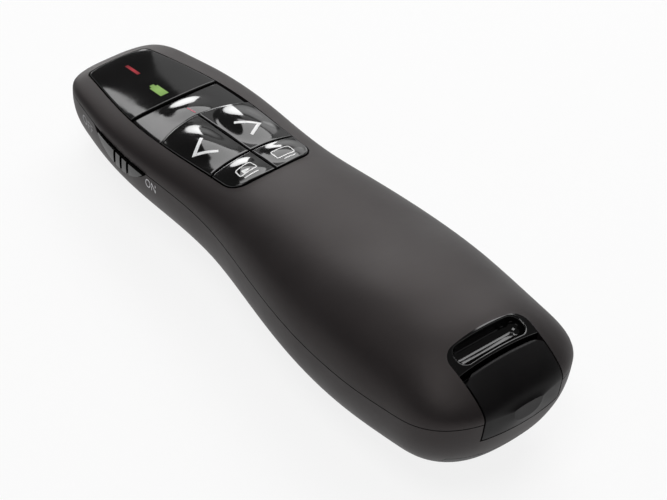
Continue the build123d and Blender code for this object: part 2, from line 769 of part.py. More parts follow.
def make_slider():
    """The power slider: an almond knob with thumb ribs, a skirt behind the slot and a fork."""
    under_rim = above_seam(-SEAM_GAP - SLIDER_GAP)
    knob = side_arc(slider_y, SLIDER_LENGTH, SLIDER_DEPTH, SIDE - SKIRT_FACE)
    knob &= casing(-SLIDER_PROUD)
    skirt = side_arc(slider_y, skirt_length, skirt_depth, SIDE - SKIRT_FACE)
    skirt &= core(WALL + SKIRT_GAP)
    slider = (knob + skirt) - under_rim
    groove_floor = casing(SLIDER_GROOVE_DEPTH - SLIDER_PROUD)
    for k in (-1, 0, 1):
        y = slider_y + SLIDER_GROOVE_PLACE + SLIDER_GROOVE_PITCH * k
        groove = block(-SIDE, 0, y - SLIDER_GROOVE / 2, y + SLIDER_GROOVE / 2, 0, TOP)
        slider -= groove - groove_floor
    near = half_lever + LEVER_CLEARANCE
    far = near + FORK_THICKNESS
    for y0, y1 in ((slider_y - far, slider_y - near), (slider_y + near, slider_y + far)):
        slider += block(-SKIRT_FACE - FUSE, switch_x0 - FORK_GAP, y0, y1, lever_bottom, lever_top)
    return slider


# ---------------------------------------------------------------- laser

bezel = rod(0, LASER_AXIS, barrel_front, back(-PAST), BEZEL_RADIUS) & outer
bezel -= rod(0, LASER_AXIS, barrel_front - PAST, back(-PAST), APERTURE_RADIUS)
lens_rear = barrel_front - LENS_THICKNESS
diode_front = barrel_rear + DIODE_LENGTH
barrel = rod(0, LASER_AXIS, barrel_rear, barrel_front, BARREL_RADIUS)
barrel -= rod(0, LASER_AXIS, lens_rear, barrel_front, LENS_RADIUS)
barrel -= rod(0, LASER_AXIS, barrel_rear, lens_rear, DIODE_RADIUS)
lens = rod(0, LASER_AXIS, lens_rear, barrel_front, LENS_RADIUS)
diode_rear = barrel_rear - DIODE_RIM_THICKNESS
diode = rod(0, LASER_AXIS, diode_rear, diode_front, DIODE_RADIUS)
diode += rod(0, LASER_AXIS, diode_rear, barrel_rear, DIODE_RADIUS + DIODE_RIM)

# ---------------------------------------------------------------- receiver



def make_cap():
    """The receiver's cap: a piece of the tail's skin with cut corners and a rounded front lip."""
    half, front = RECEIVER_HALF_WIDTH, at(CAP_LENGTH)
    cap = outer & block(-half, half, at(-PAST), front, RECEIVER_FLOOR, TOP)
    corner = Polygon((0, 0), (-CAP_CORNER_WIDTH, 0), (0, -CAP_CORNER_DEPTH), align=None)
    corner = Pos(half, front) * corner
    cap -= drawn_up(corner, 0) + drawn_up(mirrored(corner), 0)
    lip = cap.edges().filter_by(lambda edge: abs(edge.center().Y - front) < 0.01)
    return fillet(lip.sort_by(Axis.Z)[-1], CAP_ROUND)


body_rear, body_front = at(CAP_LENGTH), at(RECEIVER_LENGTH)
receiver_body = block(
    -RECEIVER_HALF_WIDTH, RECEIVER_HALF_WIDTH, body_rear, body_front, RECEIVER_FLOOR, receiver_top
)
receiver_body = chamfer(receiver_body.edges().filter_by(Axis.Y), RECEIVER_CHAMFER)
cavity_floor = RECEIVER_FLOOR + RECEIVER_WALL
cavity_top = receiver_top - RECEIVER_WALL
cavity_front = body_front - RECEIVER_WALL
cavity_half = RECEIVER_HALF_WIDTH - RECEIVER_WALL
cavity_rear = body_rear + CAVITY_START
receiver_body -= block(
    -cavity_half, cavity_half, cavity_rear, cavity_front, cavity_floor, cavity_top
)
plug_axis = RECEIVER_FLOOR + RECEIVER_THICKNESS / 2
plug_low = plug_axis - PLUG_THICKNESS / 2
plug_high = plug_axis + PLUG_THICKNESS / 2
plug_half = PLUG_WIDTH / 2
plug_front = body_front + PLUG_LENGTH
plug = block(-plug_half, plug_half, cavity_front, plug_front, plug_low, plug_high)
receiver_body -= plug
plug -= block(
    PLUG_WALL - plug_half,
    plug_half - PLUG_WALL,
    cavity_front,
    plug_front,
    plug_low + PLUG_WALL,
    plug_high - PLUG_WALL,
)
window_y1 = plug_front - PLUG_WINDOW_BACK
window_y0 = window_y1 - PLUG_WINDOW_LENGTH
for x in (-PLUG_WINDOW, PLUG_WINDOW):
    x0, x1 = x - PLUG_WINDOW / 2, x + PLUG_WINDOW / 2
    plug -= block(x0, x1, window_y0, window_y1, plug_low - PAST, plug_high + PAST)
tongue_top = plug_axis - TONGUE_DROP
tongue_rear = body_front + TONGUE_ROOT
tongue_low = plug_low + PLUG_WALL
tongue_half = plug_half - PLUG_WALL
tongue_front = plug_front - TONGUE_BACK
tongue = block(-tongue_half, tongue_half, tongue_rear, tongue_front, tongue_low, tongue_top)
strip_front = tongue_front - TONGUE_BACK
contacts = []
for x, length in ((-3.5, 8.5), (-1.0, 7.5), (1.0, 7.5), (3.5, 8.5)):
    x0, x1 = x - STRIP_WIDTH / 2, x + STRIP_WIDTH / 2
    y0, z1 = strip_front - length, tongue_top + STRIP_THICKNESS
    contacts.append(block(x0, x1, y0, strip_front, tongue_top, z1))
receiver_board_top = cavity_floor + RECEIVER_BOARD_THICKNESS
receiver_board = block(
    -RECEIVER_BOARD_HALF_WIDTH,
    RECEIVER_BOARD_HALF_WIDTH,
    body_rear + PAST,
    tongue_rear,
    cavity_floor,
    receiver_board_top,
)
chip_y0, chip_half = at(RECEIVER_CHIP_PLACE), RECEIVER_CHIP_LENGTH / 2
chip_top = receiver_board_top + RECEIVER_CHIP_HEIGHT
receiver_chip = block(
    -chip_half, chip_half, chip_y0, chip_y0 + RECEIVER_CHIP_LENGTH, receiver_board_top, chip_top
)


def make_scoop():
    """The glossy finger scoop between the dock's front edge and the receiver cap."""
    rear = at(CAP_LENGTH + SCOOP_GAP)
    scoop = drawn_up(dock_plan & plan(rear, at(DOCK_FRONT)), roof_top) & outer
    y0, y1 = rear + SCOOP_LIP, at(DOCK_FRONT - SCOOP_FRONT_WALL)
    floor = skin_height(0, y0) - SCOOP_DEPTH
    half = RECEIVER_HALF_WIDTH - SCOOP_SIDE_WALL
    mouth = plan(y0, y1, -half, half)
    mouth = fillet(mouth.vertices(), SCOOP_CORNER)
    hollow = drawn_up(mouth, floor)
    hollow = fillet(hollow.faces().sort_by(Axis.Z)[0].edges(), SCOOP_CORNER - FUSE)
    scoop = round_rim(scoop - hollow, mouth, LIP_ROUND)
    lip = scoop.edges().filter_by(lambda edge: abs(edge.center().Y - rear) < 0.01)
    return fillet(lip.sort_by(Axis.Z)[-1], LIP_ROUND)


# ---------------------------------------------------------------- cells, contacts and tray


def make_cell(side, turned):
    """One AAA cell: a can and the nub of its positive end; turned puts the nub to the tail."""
    x = side * cell_pitch / 2
    if turned:
        rear = at(BAY_TAIL) + CONTACT_THICKNESS
        cell = rod(x, cell_axis, rear + NUB_LENGTH, rear + CELL_LENGTH, CELL_RADIUS)
        return cell + rod(x, cell_axis, rear, rear + NUB_LENGTH, NUB_RADIUS)
    front = at(bay_front) - CONTACT_THICKNESS
    cell = rod(x, cell_axis, front - CELL_LENGTH, front - NUB_LENGTH, CELL_RADIUS)
    return cell + rod(x, cell_axis, front - NUB_LENGTH, front, NUB_RADIUS)


plate_low = cell_axis - CONTACT_DROP
plate_high = board_bottom - CONTACT_THICKNESS
half_contact = CONTACT_WIDTH / 2


def make_plate(side, wall_y, inward):
    """A flat contact against a bay wall."""
    x = side * cell_pitch / 2
    y0, y1 = sorted((wall_y, wall_y + inward * CONTACT_THICKNESS))
    return block(x - half_contact, x + half_contact, y0, y1, plate_low, plate_high)


def make_spring(side, wall_y, inward):
    """A leaf spring: a contact plate with a bowed leaf that bears on the cell."""
    reach = BAY_LENGTH - CELL_LENGTH - 2 * CONTACT_THICKNESS
    x = side * cell_pitch / 2
    face = wall_y + inward * CONTACT_THICKNESS
    across = Pos(x, face, cell_axis) * Rot(0, 90, 0)
    bow = across * Cylinder(reach, CONTACT_WIDTH / 2)
    bow -= across * Cylinder(reach - CONTACT_THICKNESS, CONTACT_WIDTH)
    y0, y1 = sorted((face, face + inward * PAST))
    return make_plate(side, wall_y, inward) + (bow & block(-SIDE, SIDE, y0, y1, 0, TOP))


def make_tray():
    """The tray over the cells: deck, bay walls, side walls, and the receiver's sleeve above."""
    y0, y1 = at(BAY_TAIL) - BAY_WALL, at(bay_front) + BAY_WALL
    tray = block(-tray_half, tray_half, y0, y1, deck_bottom, sleeve_floor)
    side_low = cell_axis + TRAY_SIDE_LIFT
    tray += pair(tray_half - TRAY_WALL, tray_half, y0, y1, side_low, sleeve_floor)
    low, half = TRAY_WALL_BOTTOM, cell_pitch / 2 + CONTACT_WIDTH / 2 + TRAY_WALL_PAST_CONTACT
    for wall0, wall1 in ((y0, at(BAY_TAIL)), (at(bay_front), y1)):
        tray += block(-tray_half, tray_half, wall0, wall1, side_low, sleeve_floor)
        tray += block(-half, half, wall0, wall1, low, side_low)
    for place in REST_PLACES:
        rest0, rest1 = at(place), at(place) + REST_THICKNESS
        reach = rest_start + REST_OVERLAP
        tray += pair(tray_half - TRAY_WALL, reach, rest0, rest1, deck_bottom, sleeve_floor)
    rear, roof_front = at(CAP_LENGTH + SCOOP_GAP), at(SLEEVE_ROOF_PLACE)
    side1, side0 = sleeve_half + TRAY_WALL, sleeve_half
    tray += pair(side0, side1, y0, body_front + TRAY_WALL, deck_bottom, roof_top)
    tray += pair(side0 - SLEEVE_CHEEK, side0 + TRAY_WALL / 5, rear, y0 + TRAY_WALL, sleeve_top, roof_top)
    tray += block(-side0, side0, rear, roof_front, sleeve_top, roof_top)
    for x in (-cell_pitch / 2, cell_pitch / 2):
        x0, x1 = x - LEAD_WIDTH / 2, x + LEAD_WIDTH / 2
        wall0, wall1 = at(bay_front) - TRAY_WALL, y1 + TRAY_WALL
        tray -= block(x0, x1, wall0, wall1, board_bottom - CONTACT_THICKNESS, board_bottom)
    return tray & core(WALL + TRAY_CLEARANCE)


def make_lead(x):
    """A flat lead under the board, from a contact of the bay to the board's rear edge."""
    x0, x1 = x - LEAD_WIDTH / 2, x + LEAD_WIDTH / 2
    y0, y1 = at(bay_front) - CONTACT_THICKNESS, board_rear + LEAD_WIDTH
    return block(x0, x1, y0, y1, board_bottom - CONTACT_THICKNESS, board_bottom)


def make_bridge():
    """The strip that joins the two contacts at the tail end of the bay."""
    half = cell_pitch / 2 - half_contact
    y0, y1 = at(BAY_TAIL), at(BAY_TAIL) + CONTACT_THICKNESS
    return block(-half, half, y0, y1, cell_axis - LEAD_WIDTH / 2, cell_axis + LEAD_WIDTH / 2)


# ---------------------------------------------------------------- screws


def make_screw(x, y, seat, up):
    """A screw whose head sits on a seat; up is 1 where the shank rises and -1 where it sinks."""
    shank = sorted((seat, seat + up * (SCREW_LENGTH - SCREW_TIP_GAP)))
    head = sorted((seat, seat - up * SCREW_HEAD_HEIGHT))
    return post(x, y, *shank, SCREW_RADIUS) + post(x, y, *head, SCREW_HEAD_RADIUS)


# ---------------------------------------------------------------- write the nodes

save("top_cover", make_top_cover())
save("bottom_cover", make_bottom_cover())
save("battery_door", make_door())
save("indicator_window", window)
save("laser_button", laser_key)
save("next_button", next_key)
save("previous_button", mirrored(next_key))
save("blank_screen_button", blank_key)
save("slideshow_button", mirrored(blank_key))
key_spots = {
    "laser": laser_spot,
    "next": arrow_spot,
    "previous": (-arrow_spot[0], arrow_spot[1]),
    "blank_screen": small_spot,
    "slideshow": (-small_spot[0], small_spot[1]),
}
for name, foot in key_spots.items():
    save(f"{name}_stem", make_stem(foot))
save("tact_switches", *[make_switch(foot) for foot in key_spots.values()])
save("main_board", make_board())
save("power_slider", make_slider())
save("slide_switch_housing", make_switch_housing())
save("slide_switch_lever", make_lever())
save("laser_aperture", bezel)
save("laser_barrel", barrel)
save("laser_lens", lens)
save("laser_diode", diode)
save("dock_scoop", make_scoop())
save("receiver_cap", make_cap())
save("receiver_body", receiver_body)
save("receiver_plug_shell", plug)
save("receiver_tongue", tongue)
save("receiver_contacts", *contacts)
save("receiver_board", receiver_board)
save("receiver_chip", receiver_chip)
save("battery_tray", make_tray())
save("battery_left", make_cell(-1, False))
save("battery_right", make_cell(1, True))
save("battery_springs", make_spring(-1, at(BAY_TAIL), 1), make_spring(1, at(bay_front), -1))
save("battery_terminals", make_plate(1, at(BAY_TAIL), 1), make_plate(-1, at(bay_front), -1))
save("battery_bridge", make_bridge())
save("battery_leads", make_lead(-cell_pitch / 2), make_lead(cell_pitch / 2))
save("indicator_lamps", *[make_lamp(back(distance)) for distance in LAMP_BACKS])
save("light_guides", *[make_guide(back(distance)) for distance in LAMP_BACKS])
save("radio_chip", under_board(-5.0, 30.5, 5.0, 5.0, 1.0))
save("controller_chip", under_board(3.5, 30.0, 4.0, 4.0, 0.9))
save("crystal", under_board(-2.4, 23.75, 3.2, 2.5, 0.8))
housing_screws = [make_screw(x, y, shelf_bottom, 1) for x, y in boss_spots]
board_screws = [make_screw(x, y, BOARD_TOP, -1) for x, y in board_screw_spots]
save("housing_screws", *housing_screws)
save("board_screws", *board_screws)
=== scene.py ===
import bpy
import bmesh
import numpy as np
from mathutils import Matrix, Vector


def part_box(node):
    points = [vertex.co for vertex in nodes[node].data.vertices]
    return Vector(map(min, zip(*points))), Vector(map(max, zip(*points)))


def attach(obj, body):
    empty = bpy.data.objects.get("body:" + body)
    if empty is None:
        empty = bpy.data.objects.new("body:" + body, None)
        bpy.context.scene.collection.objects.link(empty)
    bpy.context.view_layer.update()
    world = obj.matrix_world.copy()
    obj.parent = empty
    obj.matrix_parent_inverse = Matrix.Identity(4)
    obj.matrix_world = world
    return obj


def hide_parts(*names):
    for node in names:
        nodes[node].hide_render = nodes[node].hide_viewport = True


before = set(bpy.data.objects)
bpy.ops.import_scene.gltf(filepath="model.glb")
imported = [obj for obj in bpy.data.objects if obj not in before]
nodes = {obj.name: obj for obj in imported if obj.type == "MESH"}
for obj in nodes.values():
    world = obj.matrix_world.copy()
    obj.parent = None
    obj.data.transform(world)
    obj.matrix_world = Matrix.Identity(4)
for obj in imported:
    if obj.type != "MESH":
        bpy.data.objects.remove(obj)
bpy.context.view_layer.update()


# The casing: two injection-moulded ABS shells, sprayed with soft-touch rubber paint before they
# are joined along the drooping seam. The paint kills the gloss of the plastic and leaves a
# satin sheen with a very fine dust-like grain.


def linear(hex_colour):
    """The linear RGBA of an sRGB hex colour: a channel c becomes c / 12.92 up to 0.04045, and
    ((c + 0.055) / 1.055) to the power 2.4 above it."""
    channel = np.array([int(hex_colour[i : i + 2], 16) for i in (1, 3, 5)]) / 255
    curve = np.where(channel <= 0.04045, channel / 12.92, ((channel + 0.055) / 1.055) ** 2.4)
    return (*curve.tolist(), 1.0)


def add(tree, kind, values=None, feeds=None, **options):
    """One node: options are its own settings, values its sockets' numbers by name or index, and
    feeds the outputs that are linked into its sockets."""
    node = tree.nodes.new(kind)
    for option, setting in options.items():
        setattr(node, option, setting)
    for socket, value in (values or {}).items():
        node.inputs[socket].default_value = value
    for socket, source in (feeds or {}).items():
        tree.links.new(source, node.inputs[socket])
    return node


def new_material(name):
    """An empty material and its node tree."""
    made = bpy.data.materials.new(name)
    made.use_nodes = True
    made.node_tree.nodes.clear()
    return made, made.node_tree


def finish_with(material, *names):
    """Puts one material on every face of the named pieces of the frame."""
    for name in names:
        for place in nodes[name].material_slots:
            place.material = material


MM = 0.001
PAINT_GRAIN_MM = 0.45  # sprayed grain is nearer 0.05 mm; coarser here so that it shows
PAINT_CLOUD_MM = 11.0

# Rubberised polyurethane paint: a nearly black warm grey, satin, so a lamp spreads into a wide
# soft band; slow clouds in its gloss are where hands have polished it.
soft_touch, tree = new_material("soft_touch_paint_sprayed_on_abs")
place = add(tree, "ShaderNodeTexCoord")
cloud = add(
    tree,
    "ShaderNodeTexNoise",
    {"Scale": 1 / (PAINT_CLOUD_MM * MM), "Detail": 3.0, "Roughness": 0.6},
    {"Vector": place.outputs["Object"]},
)
grain = add(
    tree,
    "ShaderNodeTexNoise",
    {"Scale": 1 / (PAINT_GRAIN_MM * MM), "Detail": 2.0, "Roughness": 0.5},
    {"Vector": place.outputs["Object"]},
)
tint = add(
    tree,
    "ShaderNodeMix",
    {6: linear("#1a1718"), 7: linear("#231f20")},
    {0: cloud.outputs["Fac"]},
    data_type="RGBA",
)
gloss = add(
    tree,
    "ShaderNodeMapRange",
    {"From Min": 0.3, "From Max": 0.7, "To Min": 0.47, "To Max": 0.54},
    {"Value": cloud.outputs["Fac"]},
)
dust = add(
    tree,
    "ShaderNodeBump",
    {"Strength": 0.5, "Distance": 0.006 * MM},
    {"Height": grain.outputs["Fac"]},
)
skin = add(
    tree,
    "ShaderNodeBsdfPrincipled",
    {
        "IOR": 1.47,
        "Specular IOR Level": 0.4,
        "Specular Tint": linear("#fff4f1"),
    },
    {
        "Base Color": tint.outputs[2],
        "Roughness": gloss.outputs["Result"],
        "Normal": dust.outputs["Normal"],
    },
)
add(tree, "ShaderNodeOutputMaterial", feeds={"Surface": skin.outputs["BSDF"]})
finish_with(soft_touch, "top_cover", "bottom_cover")


# The battery door: a bare ABS moulding from a spark-eroded tool, so its outside has the fine
# pebbled texture of unpainted plastic. It hooks into the lower shell and slides off to the tail.

DOOR_TEXTURE_MM = 0.5

# Spark-textured ABS: matt, slightly greyer than the paint, with small even pits. Its colour is painted
# darker towards the floor of each pit, which is painted shade.
textured_abs, tree = new_material("spark_textured_moulded_abs")
place = add(tree, "ShaderNodeTexCoord")
pits = add(
    tree,
    "ShaderNodeTexVoronoi",
    {"Scale": 1 / (DOOR_TEXTURE_MM * MM), "Randomness": 1.0},
    {"Vector": place.outputs["Object"]},
    feature="SMOOTH_F1",
)
# painted shade in the pits: the colour darkens where the bump's relief is lowest
shade = add(
    tree,
    "ShaderNodeMix",
    {6: linear("#171616"), 7: linear("#262424")},
    {0: pits.outputs["Distance"]},
    data_type="RGBA",
)
relief = add(
    tree,
    "ShaderNodeBump",
    {"Strength": 0.6, "Distance": 0.02 * MM},
    {"Height": pits.outputs["Distance"]},
)
skin = add(
    tree,
    "ShaderNodeBsdfPrincipled",
    {"IOR": 1.52, "Roughness": 0.55},
    {"Base Color": shade.outputs[2], "Normal": relief.outputs["Normal"]},
)
add(tree, "ShaderNodeOutputMaterial", feeds={"Surface": skin.outputs["BSDF"]})
finish_with(textured_abs, "battery_door")


# The tray between the cells and the receiver, the switch bodies, stems and lever: moulded from
# glass-filled nylon, which is stiff and flows along the part, so short fibres show as streaks.

FIBRE_WIDTH_MM = 0.3
FIBRE_LENGTH_MM = 3.0

# Glass-filled nylon: dull charcoal, with pale streaks where fibres lie near the surface.
filled_nylon, tree = new_material("glass_filled_nylon_moulding")
place = add(tree, "ShaderNodeTexCoord")
flow = add(
    tree,
    "ShaderNodeMapping",
    {"Scale": (1 / (FIBRE_WIDTH_MM * MM), 1 / (FIBRE_LENGTH_MM * MM), 1 / (FIBRE_WIDTH_MM * MM))},
    {"Vector": place.outputs["Object"]},
)
fibres = add(
    tree,
    "ShaderNodeTexNoise",
    {"Scale": 1.0, "Detail": 4.0, "Roughness": 0.6},
    {"Vector": flow.outputs["Vector"]},
)
streak = add(
    tree,
    "ShaderNodeMix",
    {6: linear("#131314"), 7: linear("#303031")},
    {0: fibres.outputs["Fac"]},
    data_type="RGBA",
)
relief = add(
    tree,
    "ShaderNodeBump",
    {"Strength": 0.4, "Distance": 0.01 * MM},
    {"Height": fibres.outputs["Fac"]},
)
skin = add(
    tree,
    "ShaderNodeBsdfPrincipled",
    {"IOR": 1.53, "Roughness": 0.5},
    {"Base Color": streak.outputs[2], "Normal": relief.outputs["Normal"]},
)
add(tree, "ShaderNodeOutputMaterial", feeds={"Surface": skin.outputs["BSDF"]})
KEY_NAMES = ["laser", "next", "previous", "blank_screen", "slideshow"]
finish_with(filled_nylon, "battery_tray", "tact_switches", "slide_switch_lever", "receiver_body")
finish_with(filled_nylon, *[name + "_stem" for name in KEY_NAMES])


# The springs, flat terminals, bridge, leads, screws, crystal can and switch housing: pressed from
# strip or headed from wire, then nickel plated, so they keep the fine lines of rolling.

ROLL_LINE_MM = 0.12
ROLL_RUN_MM = 6.0

# Nickel-plated steel: bright warm grey, with a blur drawn out along the rolling lines.
nickel, tree = new_material("nickel_plated_rolled_steel")
place = add(tree, "ShaderNodeTexCoord")
roll = add(
    tree,
    "ShaderNodeMapping",
    {"Scale": (1 / (ROLL_LINE_MM * MM), 1 / (ROLL_RUN_MM * MM), 1 / (ROLL_LINE_MM * MM))},
    {"Vector": place.outputs["Object"]},
)
lines = add(
    tree,
    "ShaderNodeTexNoise",
    {"Scale": 1.0, "Detail": 3.0, "Roughness": 0.55},
    {"Vector": roll.outputs["Vector"]},
)
gloss = add(
    tree,
    "ShaderNodeMapRange",
    {"From Min": 0.3, "From Max": 0.7, "To Min": 0.2, "To Max": 0.38},
    {"Value": lines.outputs["Fac"]},
)
tone = add(
    tree,
    "ShaderNodeMix",
    {6: linear("#b3b0a8"), 7: linear("#d2cfc8")},
    {0: lines.outputs["Fac"]},
    data_type="RGBA",
)
skin = add(
    tree,
    "ShaderNodeBsdfPrincipled",
    {"Metallic": 1.0},
    {"Base Color": tone.outputs[2], "Roughness": gloss.outputs["Result"]},
)
add(tree, "ShaderNodeOutputMaterial", feeds={"Surface": skin.outputs["BSDF"]})
finish_with(nickel, "battery_springs", "battery_terminals", "battery_bridge", "battery_leads")
finish_with(nickel, "housing_screws", "board_screws", "crystal", "slide_switch_housing")
finish_with(nickel, "receiver_plug_shell", "laser_diode")


# The two AAA cells: drawn steel cans in a shrunk printed sleeve, plain grey with a pale band at
# the positive end. They lie head to tail in the tray, held between spring and terminal.

CELL_SEAM_MM = 0.6
CELL_BAND_SHARE = 0.14  # of the cell's length
CELL_NUB_SEAMS = 2.2  # the bare steel round the nub, in seams


def cell_sleeve(name, positive, tail_end, nose_end):
    """A sleeve material: bare plated steel at either end, wider round the nub, a pale band next to
    the positive end (1 nose, -1 tail), and the grey sleeve between."""
    sleeve, leaf = new_material(name)
    spot = add(leaf, "ShaderNodeTexCoord")
    axes = add(leaf, "ShaderNodeSeparateXYZ", feeds={"Vector": spot.outputs["Object"]})
    along = add(
        leaf,
        "ShaderNodeMapRange",
        {"From Min": tail_end, "From Max": nose_end, "To Min": 0.0, "To Max": 1.0},
        {"Value": axes.outputs["Y"]},
    )
    bands = add(leaf, "ShaderNodeValToRGB", feeds={"Fac": along.outputs["Result"]})
    bands.color_ramp.interpolation = "CONSTANT"
    edge = CELL_SEAM_MM * MM / (nose_end - tail_end)
    steel, grey, pale = linear("#c2bfb8"), linear("#3b3f45"), linear("#b9bdc2")
    nub, band = CELL_NUB_SEAMS * edge, CELL_BAND_SHARE
    stops = [(0.0, steel), (edge, grey), (1 - band, pale), (1 - nub, steel)]
    if positive < 0:
        stops = [(0.0, steel), (nub, pale), (band, grey), (1 - edge, steel)]
    for spare in list(bands.color_ramp.elements)[1:]:
        bands.color_ramp.elements.remove(spare)
    for order, (position, colour) in enumerate(stops):
        stop = bands.color_ramp.elements[0] if order == 0 else bands.color_ramp.elements.new(position)
        stop.position = position
        stop.color = colour
    wrinkle = add(
        leaf,
        "ShaderNodeTexNoise",
        {"Scale": 1 / (1.8 * MM), "Detail": 2.0},
        {"Vector": spot.outputs["Object"]},
    )
    skin = add(
        leaf,
        "ShaderNodeBump",
        {"Strength": 0.3, "Distance": 0.02 * MM},
        {"Height": wrinkle.outputs["Fac"]},
    )
    film = add(
        leaf,
        "ShaderNodeBsdfPrincipled",
        {"IOR": 1.53, "Roughness": 0.28, "Metallic": 0.55},
        {"Base Color": bands.outputs["Color"], "Normal": skin.outputs["Normal"]},
    )
    add(leaf, "ShaderNodeOutputMaterial", feeds={"Surface": film.outputs["BSDF"]})
    return sleeve


for name, positive in (("battery_left", 1), ("battery_right", -1)):
    low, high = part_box(name)
    finish_with(cell_sleeve(name + "_printed_shrink_sleeve", positive, low[1], high[1]), name)


# The two circuit boards: glass-epoxy laminate with etched copper tracks under green solder mask.
# The main board is screwed to posts in the lower shell, the small one lies behind the USB plug.

TRACK_PITCH_MM = 1.1

# Solder mask over copper: glossy green, lighter and slightly raised where a track runs below it.
solder_mask, tree = new_material("green_solder_mask_on_etched_copper")
place = add(tree, "ShaderNodeTexCoord")
tracks = add(
    tree,
    "ShaderNodeTexBrick",
    {
        "Color1": (0, 0, 0, 1),
        "Color2": (0.15, 0.15, 0.15, 1),
        "Mortar": (1, 1, 1, 1),
        "Scale": 1 / (TRACK_PITCH_MM * MM),
        "Mortar Size": 0.09,
        "Brick Width": 3.2,
        "Row Height": 1.0,
    },
    {"Vector": place.outputs["Object"]},
)
mask = add(
    tree,
    "ShaderNodeMix",
    {6: linear("#0b3319"), 7: linear("#1f6b37")},
    {0: tracks.outputs["Color"]},
    data_type="RGBA",
)
relief = add(
    tree,
    "ShaderNodeBump",
    {"Strength": 0.5, "Distance": 0.035 * MM},
    {"Height": tracks.outputs["Color"]},
)
skin = add(
    tree,
    "ShaderNodeBsdfPrincipled",
    {"IOR": 1.55, "Roughness": 0.22},
    {"Base Color": mask.outputs[2], "Normal": relief.outputs["Normal"]},
)
add(tree, "ShaderNodeOutputMaterial", feeds={"Surface": skin.outputs["BSDF"]})
finish_with(solder_mask, "main_board", "receiver_board")

# Moulded epoxy: the chips' packages, black with a sanded, slightly gritty top.
chip_epoxy, tree = new_material("transfer_moulded_chip_epoxy")
place = add(tree, "ShaderNodeTexCoord")
grit = add(
    tree,
    "ShaderNodeTexNoise",
    {"Scale": 1 / (0.2 * MM), "Detail": 3.0},
    {"Vector": place.outputs["Object"]},
)
shade = add(
    tree,
    "ShaderNodeMix",
    {6: linear("#161617"), 7: linear("#2a2a2c")},
    {0: grit.outputs["Fac"]},
    data_type="RGBA",
)
skin = add(
    tree,
    "ShaderNodeBsdfPrincipled",
    {"IOR": 1.55, "Roughness": 0.6},
    {"Base Color": shade.outputs[2]},
)
add(tree, "ShaderNodeOutputMaterial", feeds={"Surface": skin.outputs["BSDF"]})
finish_with(chip_epoxy, "radio_chip", "controller_chip", "receiver_chip")


# The lamps, the light guides over them and the laser's lens: clear acrylic, polished in the mould,
# with faint flow lines inside.

# Moulded acrylic: colourless and clear, slightly wavy from the mould.
clear_acrylic, tree = new_material("clear_moulded_acrylic")
place = add(tree, "ShaderNodeTexCoord")
ripple = add(
    tree,
    "ShaderNodeTexNoise",
    {"Scale": 1 / (1.5 * MM), "Detail": 1.0},
    {"Vector": place.outputs["Object"]},
)
wave = add(
    tree,
    "ShaderNodeBump",
    {"Strength": 0.2, "Distance": 0.01 * MM},
    {"Height": ripple.outputs["Fac"]},
)
skin = add(
    tree,
    "ShaderNodeBsdfPrincipled",
    {
        "Base Color": linear("#eef2f4"),
        "IOR": 1.49,
        "Roughness": 0.04,
        "Transmission Weight": 1.0,
    },
    {"Normal": wave.outputs["Normal"]},
)
add(tree, "ShaderNodeOutputMaterial", feeds={"Surface": skin.outputs["BSDF"]})
finish_with(clear_acrylic, "indicator_lamps", "light_guides", "laser_lens")


# The laser's barrel and the plug's contacts: turned or stamped brass; fine circular tool marks
# run round the barrel's axis, which lies along the body.

# Turned brass: yellow metal, bright, with lines a few hundredths of a millimetre apart.
turned_brass, tree = new_material("fine_turned_brass")
place = add(tree, "ShaderNodeTexCoord")
lathe = add(
    tree,
    "ShaderNodeTexWave",
    {"Scale": 1 / (0.9 * MM), "Distortion": 0.6, "Detail": 2.0},
    {"Vector": place.outputs["Object"]},
    bands_direction="Y",
)
gloss = add(
    tree,
    "ShaderNodeMapRange",
    {"To Min": 0.2, "To Max": 0.34},
    {"Value": lathe.outputs["Fac"]},
)
tone = add(
    tree,
    "ShaderNodeMix",
    {6: linear("#c79a4b"), 7: linear("#dcb565")},
    {0: lathe.outputs["Fac"]},
    data_type="RGBA",
)
skin = add(
    tree,
    "ShaderNodeBsdfPrincipled",
    {"Metallic": 1.0},
    {"Base Color": tone.outputs[2], "Roughness": gloss.outputs["Result"]},
)
add(tree, "ShaderNodeOutputMaterial", feeds={"Surface": skin.outputs["BSDF"]})
finish_with(turned_brass, "laser_barrel", "receiver_contacts")


# The receiver's plug tongue: a white liquid-crystal polymer blade that carries the contacts
# inside the folded steel shell.

# Liquid-crystal polymer: chalky white with a dull skin.
white_polymer, tree = new_material("white_liquid_crystal_polymer")
place = add(tree, "ShaderNodeTexCoord")
chalk = add(
    tree,
    "ShaderNodeTexNoise",
    {"Scale": 1 / (0.8 * MM), "Detail": 2.0},
    {"Vector": place.outputs["Object"]},
)
shade = add(
    tree,
    "ShaderNodeMix",
    {6: linear("#d4d2cc"), 7: linear("#e8e6e0")},
    {0: chalk.outputs["Fac"]},
    data_type="RGBA",
)
skin = add(
    tree,
    "ShaderNodeBsdfPrincipled",
    {"IOR": 1.6, "Roughness": 0.5},
    {"Base Color": shade.outputs[2]},
)
add(tree, "ShaderNodeOutputMaterial", feeds={"Surface": skin.outputs["BSDF"]})
finish_with(white_polymer, "receiver_tongue")


# The keys, scoop, slider and laser aperture: black ABS from a mirror-polished tool, left bare.
# Their gloss against the satin casing is what makes the keypad read as one dark island.

POLISH_WAVE_MM = 2.6
SMUDGE_MM = 5.0

